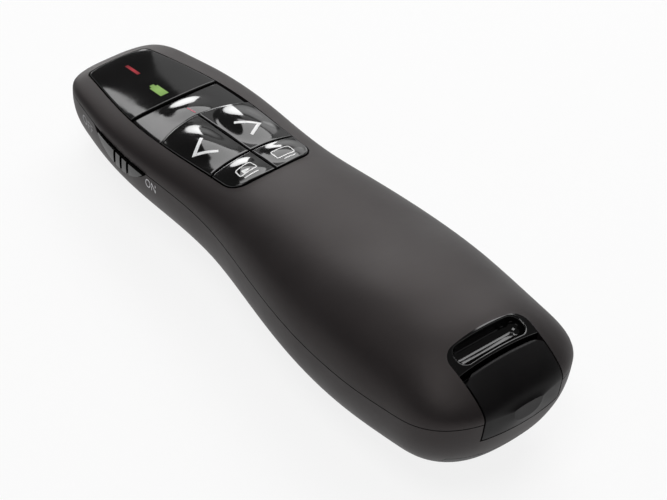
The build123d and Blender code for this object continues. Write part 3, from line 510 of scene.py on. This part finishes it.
# Polished ABS: deep black, mirror-like, with the faint waviness of moulded plastic and
# thumb smudges that dull it in places.
polished_abs, tree = new_material("mirror_polished_moulded_abs")
place = add(tree, "ShaderNodeTexCoord")
smudge = add(
    tree,
    "ShaderNodeTexNoise",
    {"Scale": 1 / (SMUDGE_MM * MM), "Detail": 4.0, "Roughness": 0.65},
    {"Vector": place.outputs["Object"]},
)
sway = add(
    tree,
    "ShaderNodeTexNoise",
    {"Scale": 1 / (POLISH_WAVE_MM * MM), "Detail": 0.0},
    {"Vector": place.outputs["Object"]},
)
tint = add(
    tree,
    "ShaderNodeMix",
    {6: linear("#060606"), 7: linear("#0c0b0b")},
    {0: smudge.outputs["Fac"]},
    data_type="RGBA",
)
gloss = add(
    tree,
    "ShaderNodeMapRange",
    {"From Min": 0.35, "From Max": 0.75, "To Min": 0.06, "To Max": 0.14},
    {"Value": smudge.outputs["Fac"]},
)
wave = add(
    tree,
    "ShaderNodeBump",
    {"Strength": 0.3, "Distance": 0.012 * MM},
    {"Height": sway.outputs["Fac"]},
)
skin = add(
    tree,
    "ShaderNodeBsdfPrincipled",
    {"IOR": 1.53},
    {
        "Base Color": tint.outputs[2],
        "Roughness": gloss.outputs["Result"],
        "Normal": wave.outputs["Normal"],
    },
)
add(tree, "ShaderNodeOutputMaterial", feeds={"Surface": skin.outputs["BSDF"]})
finish_with(polished_abs, "dock_scoop", "power_slider", "laser_aperture")


# The five key tops: each fills its part of the keypad opening, follows the casing's crown and
# swells into a soft dome under the thumb. Its edge is rounded, and a plunger below meets a stem.

KEY_SIDES = 480
KEY_RINGS = 24
KEY_EDGE_STEPS = 5
KEY_EDGE_ROUND = 0.28
KEY_BACK_DROP = 1.3
PLUNGER_RADIUS = 0.9
KEYPAD_MIDDLE = 31.0
HALF_LENGTH_MM = 57.75
SKIN_HALF_WIDTH = 11.2  # the strip of casing round the keypad that its crown is fitted to
SKIN_LOWEST = 14.0
SKIN_UPWARD = 0.55  # the least upward part of a point's normal
SKIN_DROPS = (0.5, 0.3, 0.2, 0.1, 0.06, 0.04)  # how far below the crown a point may lie, fit by fit
DOME_SQUARENESS = 2.4
KEY_SIDE_START = 0.02
KEY_HEEL_SHARE = 0.99
PLUNGER_SIDES = 32
PLUNGER_ROOT = 0.3
PLUNGER_FOOT = 0.01  # the points this close to a button's lowest one are its plunger's foot
KEY_WELD_MM = 0.001


def mesh_points(name):
    """The points of a node in millimetres, and their normals."""
    mesh = nodes[name].data
    spots, normals = np.empty(len(mesh.vertices) * 3), np.empty(len(mesh.vertices) * 3)
    mesh.vertices.foreach_get("co", spots)
    mesh.vertices.foreach_get("normal", normals)
    return spots.reshape(-1, 3) / MM, normals.reshape(-1, 3)


def seen_outline(name, spots, centre):
    """A node's outline from above, as a radius in each direction from the centre: the farthest
    point at which that direction crosses one of the node's edges."""
    mesh = nodes[name].data
    ends = np.empty(len(mesh.edges) * 2, np.int32)
    mesh.edges.foreach_get("vertices", ends)
    start = spots[ends[0::2], :2] - centre
    run = spots[ends[1::2], :2] - centre - start
    turn = np.linspace(0, 2 * np.pi, KEY_SIDES, endpoint=False)[:, None]
    x, y = np.cos(turn), np.sin(turn)
    rate = x * run[:, 1] - y * run[:, 0]
    share = (y * start[:, 0] - x * start[:, 1]) / np.where(rate == 0, 1e-9, rate)
    reach = x * (start[:, 0] + share * run[:, 0]) + y * (start[:, 1] + share * run[:, 1])
    return np.where((share >= 0) & (share <= 1), reach, 0).max(axis=1)


def crown_terms(x, y):
    """The products that the crown is a sum of: 1, x^2 and x^4, each times 1, y, y^2 and y^3, with
    x and y as tens of millimetres from the keypad's middle."""
    x, y = x / 10, (y - KEYPAD_MIDDLE) / 10
    return np.stack([x**i * y**k for i in (0, 2, 4) for k in range(4 if i == 0 else 3)], axis=-1)


def crown_round(low, high):
    """The casing's crown round the keypad: fitted to the upper shell's upward points, then fitted
    again without those that lie below it, until only its outer skin is left."""
    spots, normals = mesh_points("top_cover")
    near = (np.abs(spots[:, 0]) < SKIN_HALF_WIDTH) & (spots[:, 1] > low) & (spots[:, 1] < high)
    near &= (normals[:, 2] > SKIN_UPWARD) & (spots[:, 2] > SKIN_LOWEST)
    spots = spots[near]
    terms = crown_terms(spots[:, 0], spots[:, 1])
    keep = np.ones(len(spots), bool)
    for drop in SKIN_DROPS:
        fit = np.linalg.lstsq(terms[keep], spots[keep, 2], rcond=None)[0]
        keep = spots[:, 2] - terms @ fit > -drop
    return fit


def polar_mesh(name, shells):
    """Closed shells, each a set of rings from its upper pole out and round to its lower pole, with
    one face between neighbouring points of neighbouring rings; each pole's points are merged."""
    points, quads, count = [], [], 0
    for rings in shells:
        rows, sides = rings.shape[:2]
        index = np.arange(rows * sides).reshape(rows, sides) + count
        wrap = np.roll(index, -1, axis=1)
        quads.append(np.stack([index[:-1], index[1:], wrap[1:], wrap[:-1]], axis=-1).reshape(-1, 4))
        points.append(rings.reshape(-1, 3) * MM)
        count += rows * sides
    mesh = bpy.data.meshes.new(name)
    mesh.from_pydata(np.vstack(points).tolist(), [], np.vstack(quads).tolist())
    weld = bmesh.new()
    weld.from_mesh(mesh)
    bmesh.ops.remove_doubles(weld, verts=weld.verts, dist=KEY_WELD_MM * MM)
    bmesh.ops.dissolve_degenerate(weld, edges=weld.edges, dist=KEY_WELD_MM / 2 * MM)
    weld.to_mesh(mesh)
    weld.free()
    mesh.shade_smooth()
    return mesh


crown_fit = crown_round(6.0, 54.0)


def key_top(name, middle, proud, half, rise, lean):
    """A key: ring points run from the middle to the outline, at the crown's height plus how proud
    the key stands and the rise times (1 - d d) squared, where d is the distance from the dome's
    middle in its own half sizes after a turn by lean, a little squarer than an ellipse; then over
    a quarter round, down the side and back under. A plunger goes down from its back."""
    centre = np.array(middle) - (0.0, HALF_LENGTH_MM)
    spots = mesh_points(name + "_button")[0]
    radius = seen_outline(name + "_button", spots, centre)
    corner = np.linspace(0, np.pi / 2, KEY_EDGE_STEPS + 1)[1:]
    inner = radius - KEY_EDGE_ROUND
    out = np.linspace(0, 1, KEY_RINGS)[:, None] * inner
    out = np.vstack([out, inner + KEY_EDGE_ROUND * np.sin(corner)[:, None]])
    sink = np.concatenate([np.zeros(KEY_RINGS), KEY_EDGE_ROUND * (1 - np.cos(corner))])
    turn = np.linspace(0, 2 * np.pi, KEY_SIDES, endpoint=False)
    x, y = out * np.cos(turn), out * np.sin(turn)
    crown = crown_terms(x + centre[0], y + centre[1]) @ crown_fit + proud
    u = (x * np.cos(lean) + y * np.sin(lean)) / half[0]
    v = (y * np.cos(lean) - x * np.sin(lean)) / half[1]
    spread = np.abs(u) ** DOME_SQUARENESS + np.abs(v) ** DOME_SQUARENESS
    d = np.minimum(1, spread ** (1 / DOME_SQUARENESS))
    top = np.stack([x, y, crown + rise * (1 - d * d) ** 2 - sink[:, None]], axis=-1)
    side = top[-1] - (0.0, 0.0, KEY_SIDE_START)
    foot = np.stack([x[-1], y[-1], crown[-1] - KEY_BACK_DROP], axis=-1)
    heel = foot * (KEY_HEEL_SHARE, KEY_HEEL_SHARE, 1.0)
    pole = np.tile((0.0, 0.0, crown[0, 0] - KEY_BACK_DROP), (KEY_SIDES, 1))
    shell = np.concatenate([top, side[None], foot[None], heel[None], pole[None]])
    shell += (*centre, 0.0)
    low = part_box(name + "_button")[0][2] / MM
    around = np.linspace(0, 2 * np.pi, PLUNGER_SIDES, endpoint=False)
    ring = np.stack([np.cos(around), np.sin(around), np.zeros(PLUNGER_SIDES)], axis=1)
    ring *= PLUNGER_RADIUS
    near = spots[spots[:, 2] < low + PLUNGER_FOOT, :2].mean(axis=0)
    high = crown[0, 0] - KEY_BACK_DROP + PLUNGER_ROOT
    steps = ((0, high), (1, high), (1, low), (0, low))
    plunger = np.stack([ring * (k, k, 1) + (*near, z) for k, z in steps])
    key = bpy.data.objects.new(name + "_key_top", polar_mesh(name + "_key_top", [shell, plunger]))
    bpy.context.scene.collection.objects.link(key)
    key.data.materials.append(polished_abs)
    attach(key, name + "_key")
    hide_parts(name + "_button")
    return key


key_tops = {
    "laser": key_top("laser", (0.0, 91.9), -0.2, (5.8, 3.6), 0.5, 0.0),
    "next": key_top("next", (5.15, 81.0), 0.3, (5.0, 7.6), 0.95, -0.05),
    "previous": key_top("previous", (-5.15, 81.0), 0.3, (5.0, 7.6), 0.95, 0.05),
    "blank_screen": key_top("blank_screen", (4.6, 70.2), 0.3, (4.6, 3.6), 0.6, -0.1),
    "slideshow": key_top("slideshow", (-4.6, 70.2), 0.3, (4.6, 3.6), 0.6, 0.1),
}


# The receiver's cap: the tail of the casing, bare ABS with a satin polish a step duller than the
# keys, so that it sits between them and the paint.

# Satin ABS: black with a soft, wide highlight.
satin_abs, tree = new_material("satin_polished_moulded_abs")
place = add(tree, "ShaderNodeTexCoord")
rub = add(
    tree,
    "ShaderNodeTexNoise",
    {"Scale": 1 / (4.0 * MM), "Detail": 3.0},
    {"Vector": place.outputs["Object"]},
)
tint = add(
    tree,
    "ShaderNodeMix",
    {6: linear("#080708"), 7: linear("#0e0c0d")},
    {0: rub.outputs["Fac"]},
    data_type="RGBA",
)
gloss = add(
    tree,
    "ShaderNodeMapRange",
    {"From Min": 0.3, "From Max": 0.7, "To Min": 0.42, "To Max": 0.5},
    {"Value": rub.outputs["Fac"]},
)
skin = add(
    tree,
    "ShaderNodeBsdfPrincipled",
    {"IOR": 1.45, "Specular IOR Level": 0.2},
    {"Base Color": tint.outputs[2], "Roughness": gloss.outputs["Result"]},
)
add(tree, "ShaderNodeOutputMaterial", feeds={"Surface": skin.outputs["BSDF"]})
finish_with(satin_abs, "receiver_cap")


# The indicator window: smoked acrylic, so dark that only the lamps under it show through. It lies
# flush in the upper shell in front of the laser key.

# Smoked acrylic: black from outside, flatter and glossier than the keys.
smoked_acrylic, tree = new_material("smoked_moulded_acrylic")
place = add(tree, "ShaderNodeTexCoord")
haze = add(
    tree,
    "ShaderNodeTexNoise",
    {"Scale": 1 / (8.0 * MM), "Detail": 3.0},
    {"Vector": place.outputs["Object"]},
)
tint = add(
    tree,
    "ShaderNodeMix",
    {6: linear("#050505"), 7: linear("#0a0909")},
    {0: haze.outputs["Fac"]},
    data_type="RGBA",
)
gloss = add(
    tree,
    "ShaderNodeMapRange",
    {"From Min": 0.3, "From Max": 0.7, "To Min": 0.04, "To Max": 0.08},
    {"Value": haze.outputs["Fac"]},
)
skin = add(
    tree,
    "ShaderNodeBsdfPrincipled",
    {"IOR": 1.49},
    {"Base Color": tint.outputs[2], "Roughness": gloss.outputs["Result"]},
)
add(tree, "ShaderNodeOutputMaterial", feeds={"Surface": skin.outputs["BSDF"]})
finish_with(smoked_acrylic, "indicator_window")


# The lit marks of the window: a red bar for the laser and a green battery, each the clear part of
# a mask printed on the window, with its lamp on below it.

PRINT_LIFT_MM = 0.02
PRINT_WELD_MM = 0.002
STEP_MM = 0.25
CLEAR_OF_ALL_MM = 40.0  # above or beside the casing, from where a mark drops on to it


def on_plan(points):
    """Points given as millimetres right of the middle and forward of the tail, in the row frame."""
    return np.array(points, float) - (0.0, HALF_LENGTH_MM)


def stroke(points, width, closed=False):
    """A line of one width as a grid of three columns: each corner moves half the width to either
    side along its mitre, the sum of its two runs' normals over that sum's part along one of them,
    and the runs between corners are divided evenly into steps."""
    corner = on_plan(points)
    ring = np.vstack([corner, corner[:1]]) if closed else corner
    run = np.diff(ring, axis=0)
    length = np.linalg.norm(run, axis=1)
    normal = np.stack([-run[:, 1], run[:, 0]], axis=1) / length[:, None]
    first, last = (normal[-1:], normal[:1]) if closed else (normal[:1], normal[-1:])
    before, after = np.vstack([first, normal]), np.vstack([normal, last])
    total = before + after
    mitre = total / (total * before).sum(axis=1)[:, None] * width / 2
    steps = np.maximum(2, np.ceil(length / STEP_MM)).astype(int)
    place = np.concatenate([np.arange(len(steps)).repeat(steps) + within(steps), [len(steps)]])
    sides = [ring + mitre, ring, ring - mitre]
    knots = np.arange(len(ring))
    return np.stack([[np.interp(place, knots, side[:, k]) for k in (0, 1)] for side in sides], axis=1).T


def within(steps):
    """For each run of n steps the fractions 0, 1/n ... (n-1)/n, one after another."""
    start = np.repeat(np.cumsum(steps) - steps, steps)
    return (np.arange(steps.sum()) - start) / np.repeat(steps, steps)


def patch(corners, count=7):
    """A filled four-sided shape: each grid point is the four corners weighted by the distances
    to the opposite sides. Corners run anticlockwise, and a triangle gives one corner twice."""
    corner = on_plan(corners)
    u, v = np.meshgrid(np.linspace(0, 1, count), np.linspace(0, 1, count), indexing="ij")
    weight = np.stack([(1 - u) * (1 - v), u * (1 - v), u * v, (1 - u) * v], axis=-1)
    return weight @ corner


def rounded(corners, reach, count=6):
    """A closed path with its corners cut round: at each corner a curve between the points at
    reach on its two sides, each point a(1-t)(1-t) + 2c t(1-t) + b t t with c the corner."""
    corner = np.array(corners, float)
    back, ahead = np.roll(corner, 1, axis=0) - corner, np.roll(corner, -1, axis=0) - corner
    enter = corner + reach * back / np.linalg.norm(back, axis=1)[:, None]
    leave = corner + reach * ahead / np.linalg.norm(ahead, axis=1)[:, None]
    t = np.linspace(0, 1, count)[None, :, None]
    bend = (1 - t) ** 2 * enter[:, None] + 2 * t * (1 - t) * corner[:, None] + t**2 * leave[:, None]
    return bend.reshape(-1, 2)


def grid_faces(rows, columns):
    """The quads of a grid, each from a point to the next across, the next along, and back."""
    index = np.arange(rows * columns).reshape(rows, columns)
    corners = [index[:-1, :-1], index[:-1, 1:], index[1:, 1:], index[1:, :-1]]
    return np.stack(corners, axis=-1).reshape(-1, 4)


def settle(mark, carrier, direction):
    """Drops a flat mesh along x or z on to the piece that carries it and keeps the result, a
    film's thickness above the surface."""
    wrap = mark.modifiers.new("settle", "SHRINKWRAP")
    wrap.target = carrier
    wrap.wrap_method = "PROJECT"
    wrap.wrap_mode = "ABOVE_SURFACE"
    wrap.use_project_z = direction == "z"
    wrap.use_project_x = direction == "x"
    wrap.use_negative_direction = direction == "z"
    wrap.use_positive_direction = direction == "x"
    wrap.offset = PRINT_LIFT_MM * MM
    settled = mark.evaluated_get(bpy.context.evaluated_depsgraph_get())
    kept = bpy.data.meshes.new_from_object(settled)
    mark.modifiers.clear()
    mark.data = kept


def print_mark(name, grids, carrier, body, ink):
    """One printed mark of several grids: all are laid above the piece, welded and settled."""
    points, quads, count = [], [], 0
    for sheet in grids:
        rows, columns = sheet.shape[:2]
        height = np.full((rows * columns, 1), CLEAR_OF_ALL_MM)
        points.append(np.hstack([sheet.reshape(-1, 2), height]) * MM)
        quads.append(grid_faces(rows, columns) + count)
        count += rows * columns
    mesh = bpy.data.meshes.new(name)
    mesh.from_pydata(np.vstack(points).tolist(), [], np.vstack(quads).tolist())
    weld = bmesh.new()
    weld.from_mesh(mesh)
    bmesh.ops.remove_doubles(weld, verts=weld.verts, dist=PRINT_WELD_MM * MM)
    bmesh.ops.recalc_face_normals(weld, faces=weld.faces)
    for face in weld.faces:
        if face.normal.z < 0:
            face.normal_flip()
    weld.to_mesh(mesh)
    weld.free()
    mark = bpy.data.objects.new(name, mesh)
    bpy.context.scene.collection.objects.link(mark)
    settle(mark, carrier, "z")
    mark.data.materials.clear()
    mark.data.materials.append(ink)
    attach(mark, body)


def lamp_glow(name, dark, bright, middle, reach):
    """A lit mark: brightest over its lamp's middle and falling to the dark tone at reach from it,
    under the same gloss as the window."""
    lit, leaf = new_material(name)
    spot = add(leaf, "ShaderNodeTexCoord")
    away = add(
        leaf,
        "ShaderNodeVectorMath",
        {1: middle},
        {0: spot.outputs["Object"]},
        operation="DISTANCE",
    )
    fade = add(
        leaf,
        "ShaderNodeMapRange",
        {"From Min": 0.0, "From Max": reach, "To Min": 1.0, "To Max": 0.0},
        {"Value": away.outputs["Value"]},
    )
    colour = add(
        leaf,
        "ShaderNodeMix",
        {6: linear(dark), 7: linear(bright)},
        {0: fade.outputs["Result"]},
        data_type="RGBA",
    )
    face = add(
        leaf,
        "ShaderNodeBsdfPrincipled",
        {"IOR": 1.49, "Roughness": 0.08, "Base Color": linear("#080808"), "Emission Strength": 0.75},
        {"Emission Color": colour.outputs[2]},
    )
    add(leaf, "ShaderNodeOutputMaterial", feeds={"Surface": face.outputs["BSDF"]})
    return lit


RED_LAMP = (0.0, 50.2 * MM, 16.4 * MM)
GREEN_LAMP = (-0.4 * MM, 42.0 * MM, 17.6 * MM)
red_glow = lamp_glow("red_lamp_through_smoked_acrylic", "#7d2a30", "#c8474f", RED_LAMP, 2.4 * MM)
green_glow = lamp_glow(
    "green_lamp_through_smoked_acrylic", "#7fa35a", "#a5cf77", GREEN_LAMP, 3.4 * MM
)
BAR = [(-0.05, 106.3), (-0.05, 110.1)]
BAR_WIDTH = 0.72
BATTERY_CAN = [(-1.5, 97.85), (0.35, 97.85), (0.35, 101.2), (-1.5, 101.2)]
BATTERY_NUB = [(-1.05, 101.2), (-0.1, 101.2), (-0.1, 101.85), (-1.05, 101.85)]
print_mark(
    "laser_lamp_bar",
    [stroke(BAR, BAR_WIDTH)],
    nodes["indicator_window"],
    "housing",
    red_glow,
)
print_mark(
    "battery_lamp_mark",
    [patch(BATTERY_CAN), patch(BATTERY_NUB, 3)],
    nodes["indicator_window"],
    "housing",
    green_glow,
)


# The keys' marks: pad-printed in white two-part ink, with a red dash on the laser key. The ink
# stands two hundredths of a millimetre proud of the key and moves with it.

CHEVRON_WIDTH = 0.62
ICON_LINE = 0.22
ICON_CORNER = 0.45
DASH_WIDTH = 0.3


def pad_ink(name, thin, full):
    """Pad-printed ink: an even satin colour, thinner in small patches where the pad lifted."""
    ink, leaf = new_material(name)
    spot = add(leaf, "ShaderNodeTexCoord")
    mottle = add(
        leaf,
        "ShaderNodeTexNoise",
        {"Scale": 1 / (0.6 * MM), "Detail": 2.0},
        {"Vector": spot.outputs["Object"]},
    )
    cover = add(
        leaf,
        "ShaderNodeMapRange",
        {"From Min": 0.3, "From Max": 0.5},
        {"Value": mottle.outputs["Fac"]},
    )
    colour = add(
        leaf,
        "ShaderNodeMix",
        {6: linear(thin), 7: linear(full)},
        {0: cover.outputs["Result"]},
        data_type="RGBA",
    )
    film = add(
        leaf,
        "ShaderNodeBsdfPrincipled",
        {"IOR": 1.5, "Roughness": 0.35},
        {"Base Color": colour.outputs[2]},
    )
    add(leaf, "ShaderNodeOutputMaterial", feeds={"Surface": film.outputs["BSDF"]})
    return ink


white_ink = pad_ink("white_pad_print_ink", "#dedede", "#f6f6f6")
red_ink = pad_ink("red_pad_print_ink", "#8d2440", "#b0304e")

PREVIOUS_CHEVRON = [(-4.85, 81.75), (-8.35, 79.35), (-4.75, 77.05)]
NEXT_CHEVRON = [(2.85, 82.0), (6.15, 78.9), (3.1, 77.25)]
FRAME_CORNERS = [(-6.5, 68.65), (-2.45, 69.0), (-2.75, 70.8), (-6.35, 70.4)]
SCREEN_CORNERS = [(1.95, 68.6), (5.75, 68.4), (5.75, 70.3), (2.0, 70.75)]
PLAY_TRIANGLE = [(-5.6, 68.75), (-3.75, 69.35), (-5.6, 69.75), (-5.6, 69.75)]
print_mark(
    "previous_chevron",
    [stroke(PREVIOUS_CHEVRON, CHEVRON_WIDTH)],
    key_tops["previous"],
    "previous_key",
    white_ink,
)
print_mark(
    "next_chevron",
    [stroke(NEXT_CHEVRON, CHEVRON_WIDTH)],
    key_tops["next"],
    "next_key",
    white_ink,
)
print_mark(
    "slideshow_icon",
    [
        stroke(rounded(FRAME_CORNERS, ICON_CORNER), ICON_LINE, closed=True),
        patch(PLAY_TRIANGLE),
        stroke([(-6.1, 68.0), (-2.9, 68.1)], ICON_LINE),
    ],
    key_tops["slideshow"],
    "slideshow_key",
    white_ink,
)
print_mark(
    "blank_screen_icon",
    [
        stroke(rounded(SCREEN_CORNERS, ICON_CORNER), ICON_LINE, closed=True),
        stroke([(2.9, 67.9), (5.4, 67.8)], ICON_LINE),
    ],
    key_tops["blank_screen"],
    "blank_screen_key",
    white_ink,
)
print_mark(
    "laser_dash",
    [stroke([(-0.25, 91.6), (0.2, 89.8)], DASH_WIDTH)],
    key_tops["laser"],
    "laser_key",
    red_ink,
)


# ON and OFF beside the slider: pad-printed on the left flank of the lower shell in pale grey, ON
# towards the tail and OFF, fainter, towards the nose.


def flank_word(name, word, tail_place, nose_place, low, high, ink):
    """A word as a mesh: its letters run from nose to tail and stand up, scaled to the two places
    and heights in millimetres, and settle sideways on the flank."""
    curve = bpy.data.curves.new(name, "FONT")
    curve.body = word
    letters = bpy.data.objects.new(name + "_outline", curve)
    bpy.context.scene.collection.objects.link(letters)
    shaped = letters.evaluated_get(bpy.context.evaluated_depsgraph_get())
    mesh = bpy.data.meshes.new_from_object(shaped)
    bpy.data.objects.remove(letters)
    flat = np.empty(len(mesh.vertices) * 3)
    mesh.vertices.foreach_get("co", flat)
    flat = flat.reshape(-1, 3)[:, :2]
    share = (flat - flat.min(axis=0)) / np.ptp(flat, axis=0)
    along = nose_place - share[:, 0] * (nose_place - tail_place) - HALF_LENGTH_MM
    up = low + share[:, 1] * (high - low)
    placed = np.stack([np.full_like(up, -CLEAR_OF_ALL_MM), along, up], axis=1) * MM
    mesh.vertices.foreach_set("co", placed.ravel())
    mesh.update()
    mark = bpy.data.objects.new(name, mesh)
    bpy.context.scene.collection.objects.link(mark)
    settle(mark, nodes["bottom_cover"], "x")
    mark.data.materials.clear()
    mark.data.materials.append(ink)
    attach(mark, "housing")


grey_ink = pad_ink("pale_grey_pad_print_ink", "#adacb0", "#cfced2")
# OFF's ink is a darker grey than ON's.
faint_ink = pad_ink("darker_grey_pad_print_ink", "#5c5b5e", "#858487")
flank_word("on_word", "ON", 81.9, 84.7, 12.4, 14.4, grey_ink)
flank_word("off_word", "OFF", 102.3, 106.6, 11.0, 13.0, faint_ink)


# The studio: a pale card table and five soft lamps. A broad panel beyond the nose on the right
# draws the sheen on the back. A dimmer panel, a side panel and a bright strip hang lower on that
# side, and a top light stands over the left.

FLOOR_SIZE = 6.0
FLOOR_DROP = 0.00005  # keeps the card clear of the flat underside
CARD_GLOW_SHARE = 0.85

# Pale card: it takes the object's shadow; rays that come straight from the eye, or by way of a
# mirror or glass, also see it lit to white.
card, tree = new_material("pale_matt_card")
place = add(tree, "ShaderNodeTexCoord")
fleck = add(
    tree,
    "ShaderNodeTexNoise",
    {"Scale": 1 / (3.0 * MM), "Detail": 2.0},
    {"Vector": place.outputs["Object"]},
)
tint = add(
    tree,
    "ShaderNodeMix",
    {6: linear("#f6f6f6"), 7: linear("#fbfbfb")},
    {0: fleck.outputs["Fac"]},
    data_type="RGBA",
)
lit = add(tree, "ShaderNodeBsdfDiffuse", feeds={"Color": tint.outputs[2]})
white = add(tree, "ShaderNodeEmission", {"Strength": 1.0})
path = add(tree, "ShaderNodeLightPath")
seen = add(
    tree,
    "ShaderNodeMath",
    feeds={0: path.outputs["Is Camera Ray"], 1: path.outputs["Is Glossy Ray"]},
    operation="MAXIMUM",
)
seen = add(
    tree,
    "ShaderNodeMath",
    feeds={0: seen.outputs[0], 1: path.outputs["Is Transmission Ray"]},
    operation="MAXIMUM",
)
share = add(tree, "ShaderNodeMath", {1: CARD_GLOW_SHARE}, {0: seen.outputs[0]}, operation="MULTIPLY")
both = add(
    tree,
    "ShaderNodeMixShader",
    feeds={0: share.outputs[0], 1: lit.outputs["BSDF"], 2: white.outputs["Emission"]},
)
add(tree, "ShaderNodeOutputMaterial", feeds={"Surface": both.outputs["Shader"]})
corners = np.array([(-1, -1), (1, -1), (-1, 1), (1, 1)]) * FLOOR_SIZE / 2
table = bpy.data.meshes.new("table")
table.from_pydata(np.column_stack([corners, np.full(4, -FLOOR_DROP)]).tolist(), [], [(0, 1, 3, 2)])
table.materials.append(card)
floor = bpy.data.objects.new("table", table)
bpy.context.scene.collection.objects.link(floor)


def softbox(name, direction, distance, width, height, radiance):
    """A rectangular lamp that faces the object from a direction. Its power is radiance times its
    area times pi, so its brightness in a reflection doesn't change with its size."""
    box = bpy.data.lights.new(name, "AREA")
    box.shape = "RECTANGLE"
    box.size = width
    box.size_y = height
    box.energy = radiance * width * height * np.pi
    lamp = bpy.data.objects.new(name, box)
    bpy.context.scene.collection.objects.link(lamp)
    facing = Vector(direction).normalized()
    lamp.location = facing * distance
    lamp.rotation_euler = facing.to_track_quat("Z", "Y").to_euler()
    lamp.visible_camera = False


softbox("back_panel", (0.52, 0.44, 0.73), 0.7, 0.6, 0.38, 4.0)
softbox("dim_panel", (0.66, 0.65, 0.375), 0.72, 0.30, 0.20, 0.6)
softbox("side_panel", (0.83, 0.48, 0.28), 0.7, 0.20, 0.30, 1.2)
softbox("edge_strip", (0.42, 0.89, 0.17), 0.7, 0.28, 0.14, 7.0)
softbox("top_light", (-0.3, -0.08, 1.0), 0.8, 0.36, 0.36, 5.0)

world = bpy.data.worlds.new("studio_air")
bpy.context.scene.world = world
world.use_nodes = True
world.node_tree.nodes.clear()
# The room: a white wall round the table up to about six degrees over the horizon, which fades
# into dim air by about twelve. The two limits are the sines of those angles.
WALL_TOP = 0.1
AIR_START = 0.2
AIR_LIGHT = 0.1
place = add(world.node_tree, "ShaderNodeTexCoord")
height = add(world.node_tree, "ShaderNodeSeparateXYZ", feeds={0: place.outputs["Generated"]})
wall = add(
    world.node_tree,
    "ShaderNodeMapRange",
    {"From Min": WALL_TOP, "From Max": AIR_START, "To Min": 1.0, "To Max": AIR_LIGHT},
    {"Value": height.outputs["Z"]},
)
air = add(
    world.node_tree,
    "ShaderNodeBackground",
    {"Color": linear("#ffffff")},
    {"Strength": wall.outputs["Result"]},
)
add(world.node_tree, "ShaderNodeOutputWorld", feeds={"Surface": air.outputs["Background"]})


# The camera: above and to the left of the tail, looking along the body towards the nose.

IMAGE_WIDTH = 667
FOCAL_PIXELS = 2741.92
RIGHT = (0.7602, -0.6431, 0.0921)
UP = (0.3918, 0.567, 0.7245)
BACK = (-0.5182, -0.5147, 0.683)
EYE = (-0.24961, -0.25577, 0.34458)

lens = bpy.data.cameras.new("camera")
lens.sensor_width = 36
lens.lens = FOCAL_PIXELS / IMAGE_WIDTH * lens.sensor_width
camera = bpy.data.objects.new("camera", lens)
bpy.context.scene.collection.objects.link(camera)
stand = Matrix((RIGHT, UP, BACK)).transposed().to_4x4()
stand.translation = Vector(EYE)
camera.matrix_world = stand
bpy.context.scene.camera = camera
bpy.context.scene.view_settings.view_transform = "Standard"
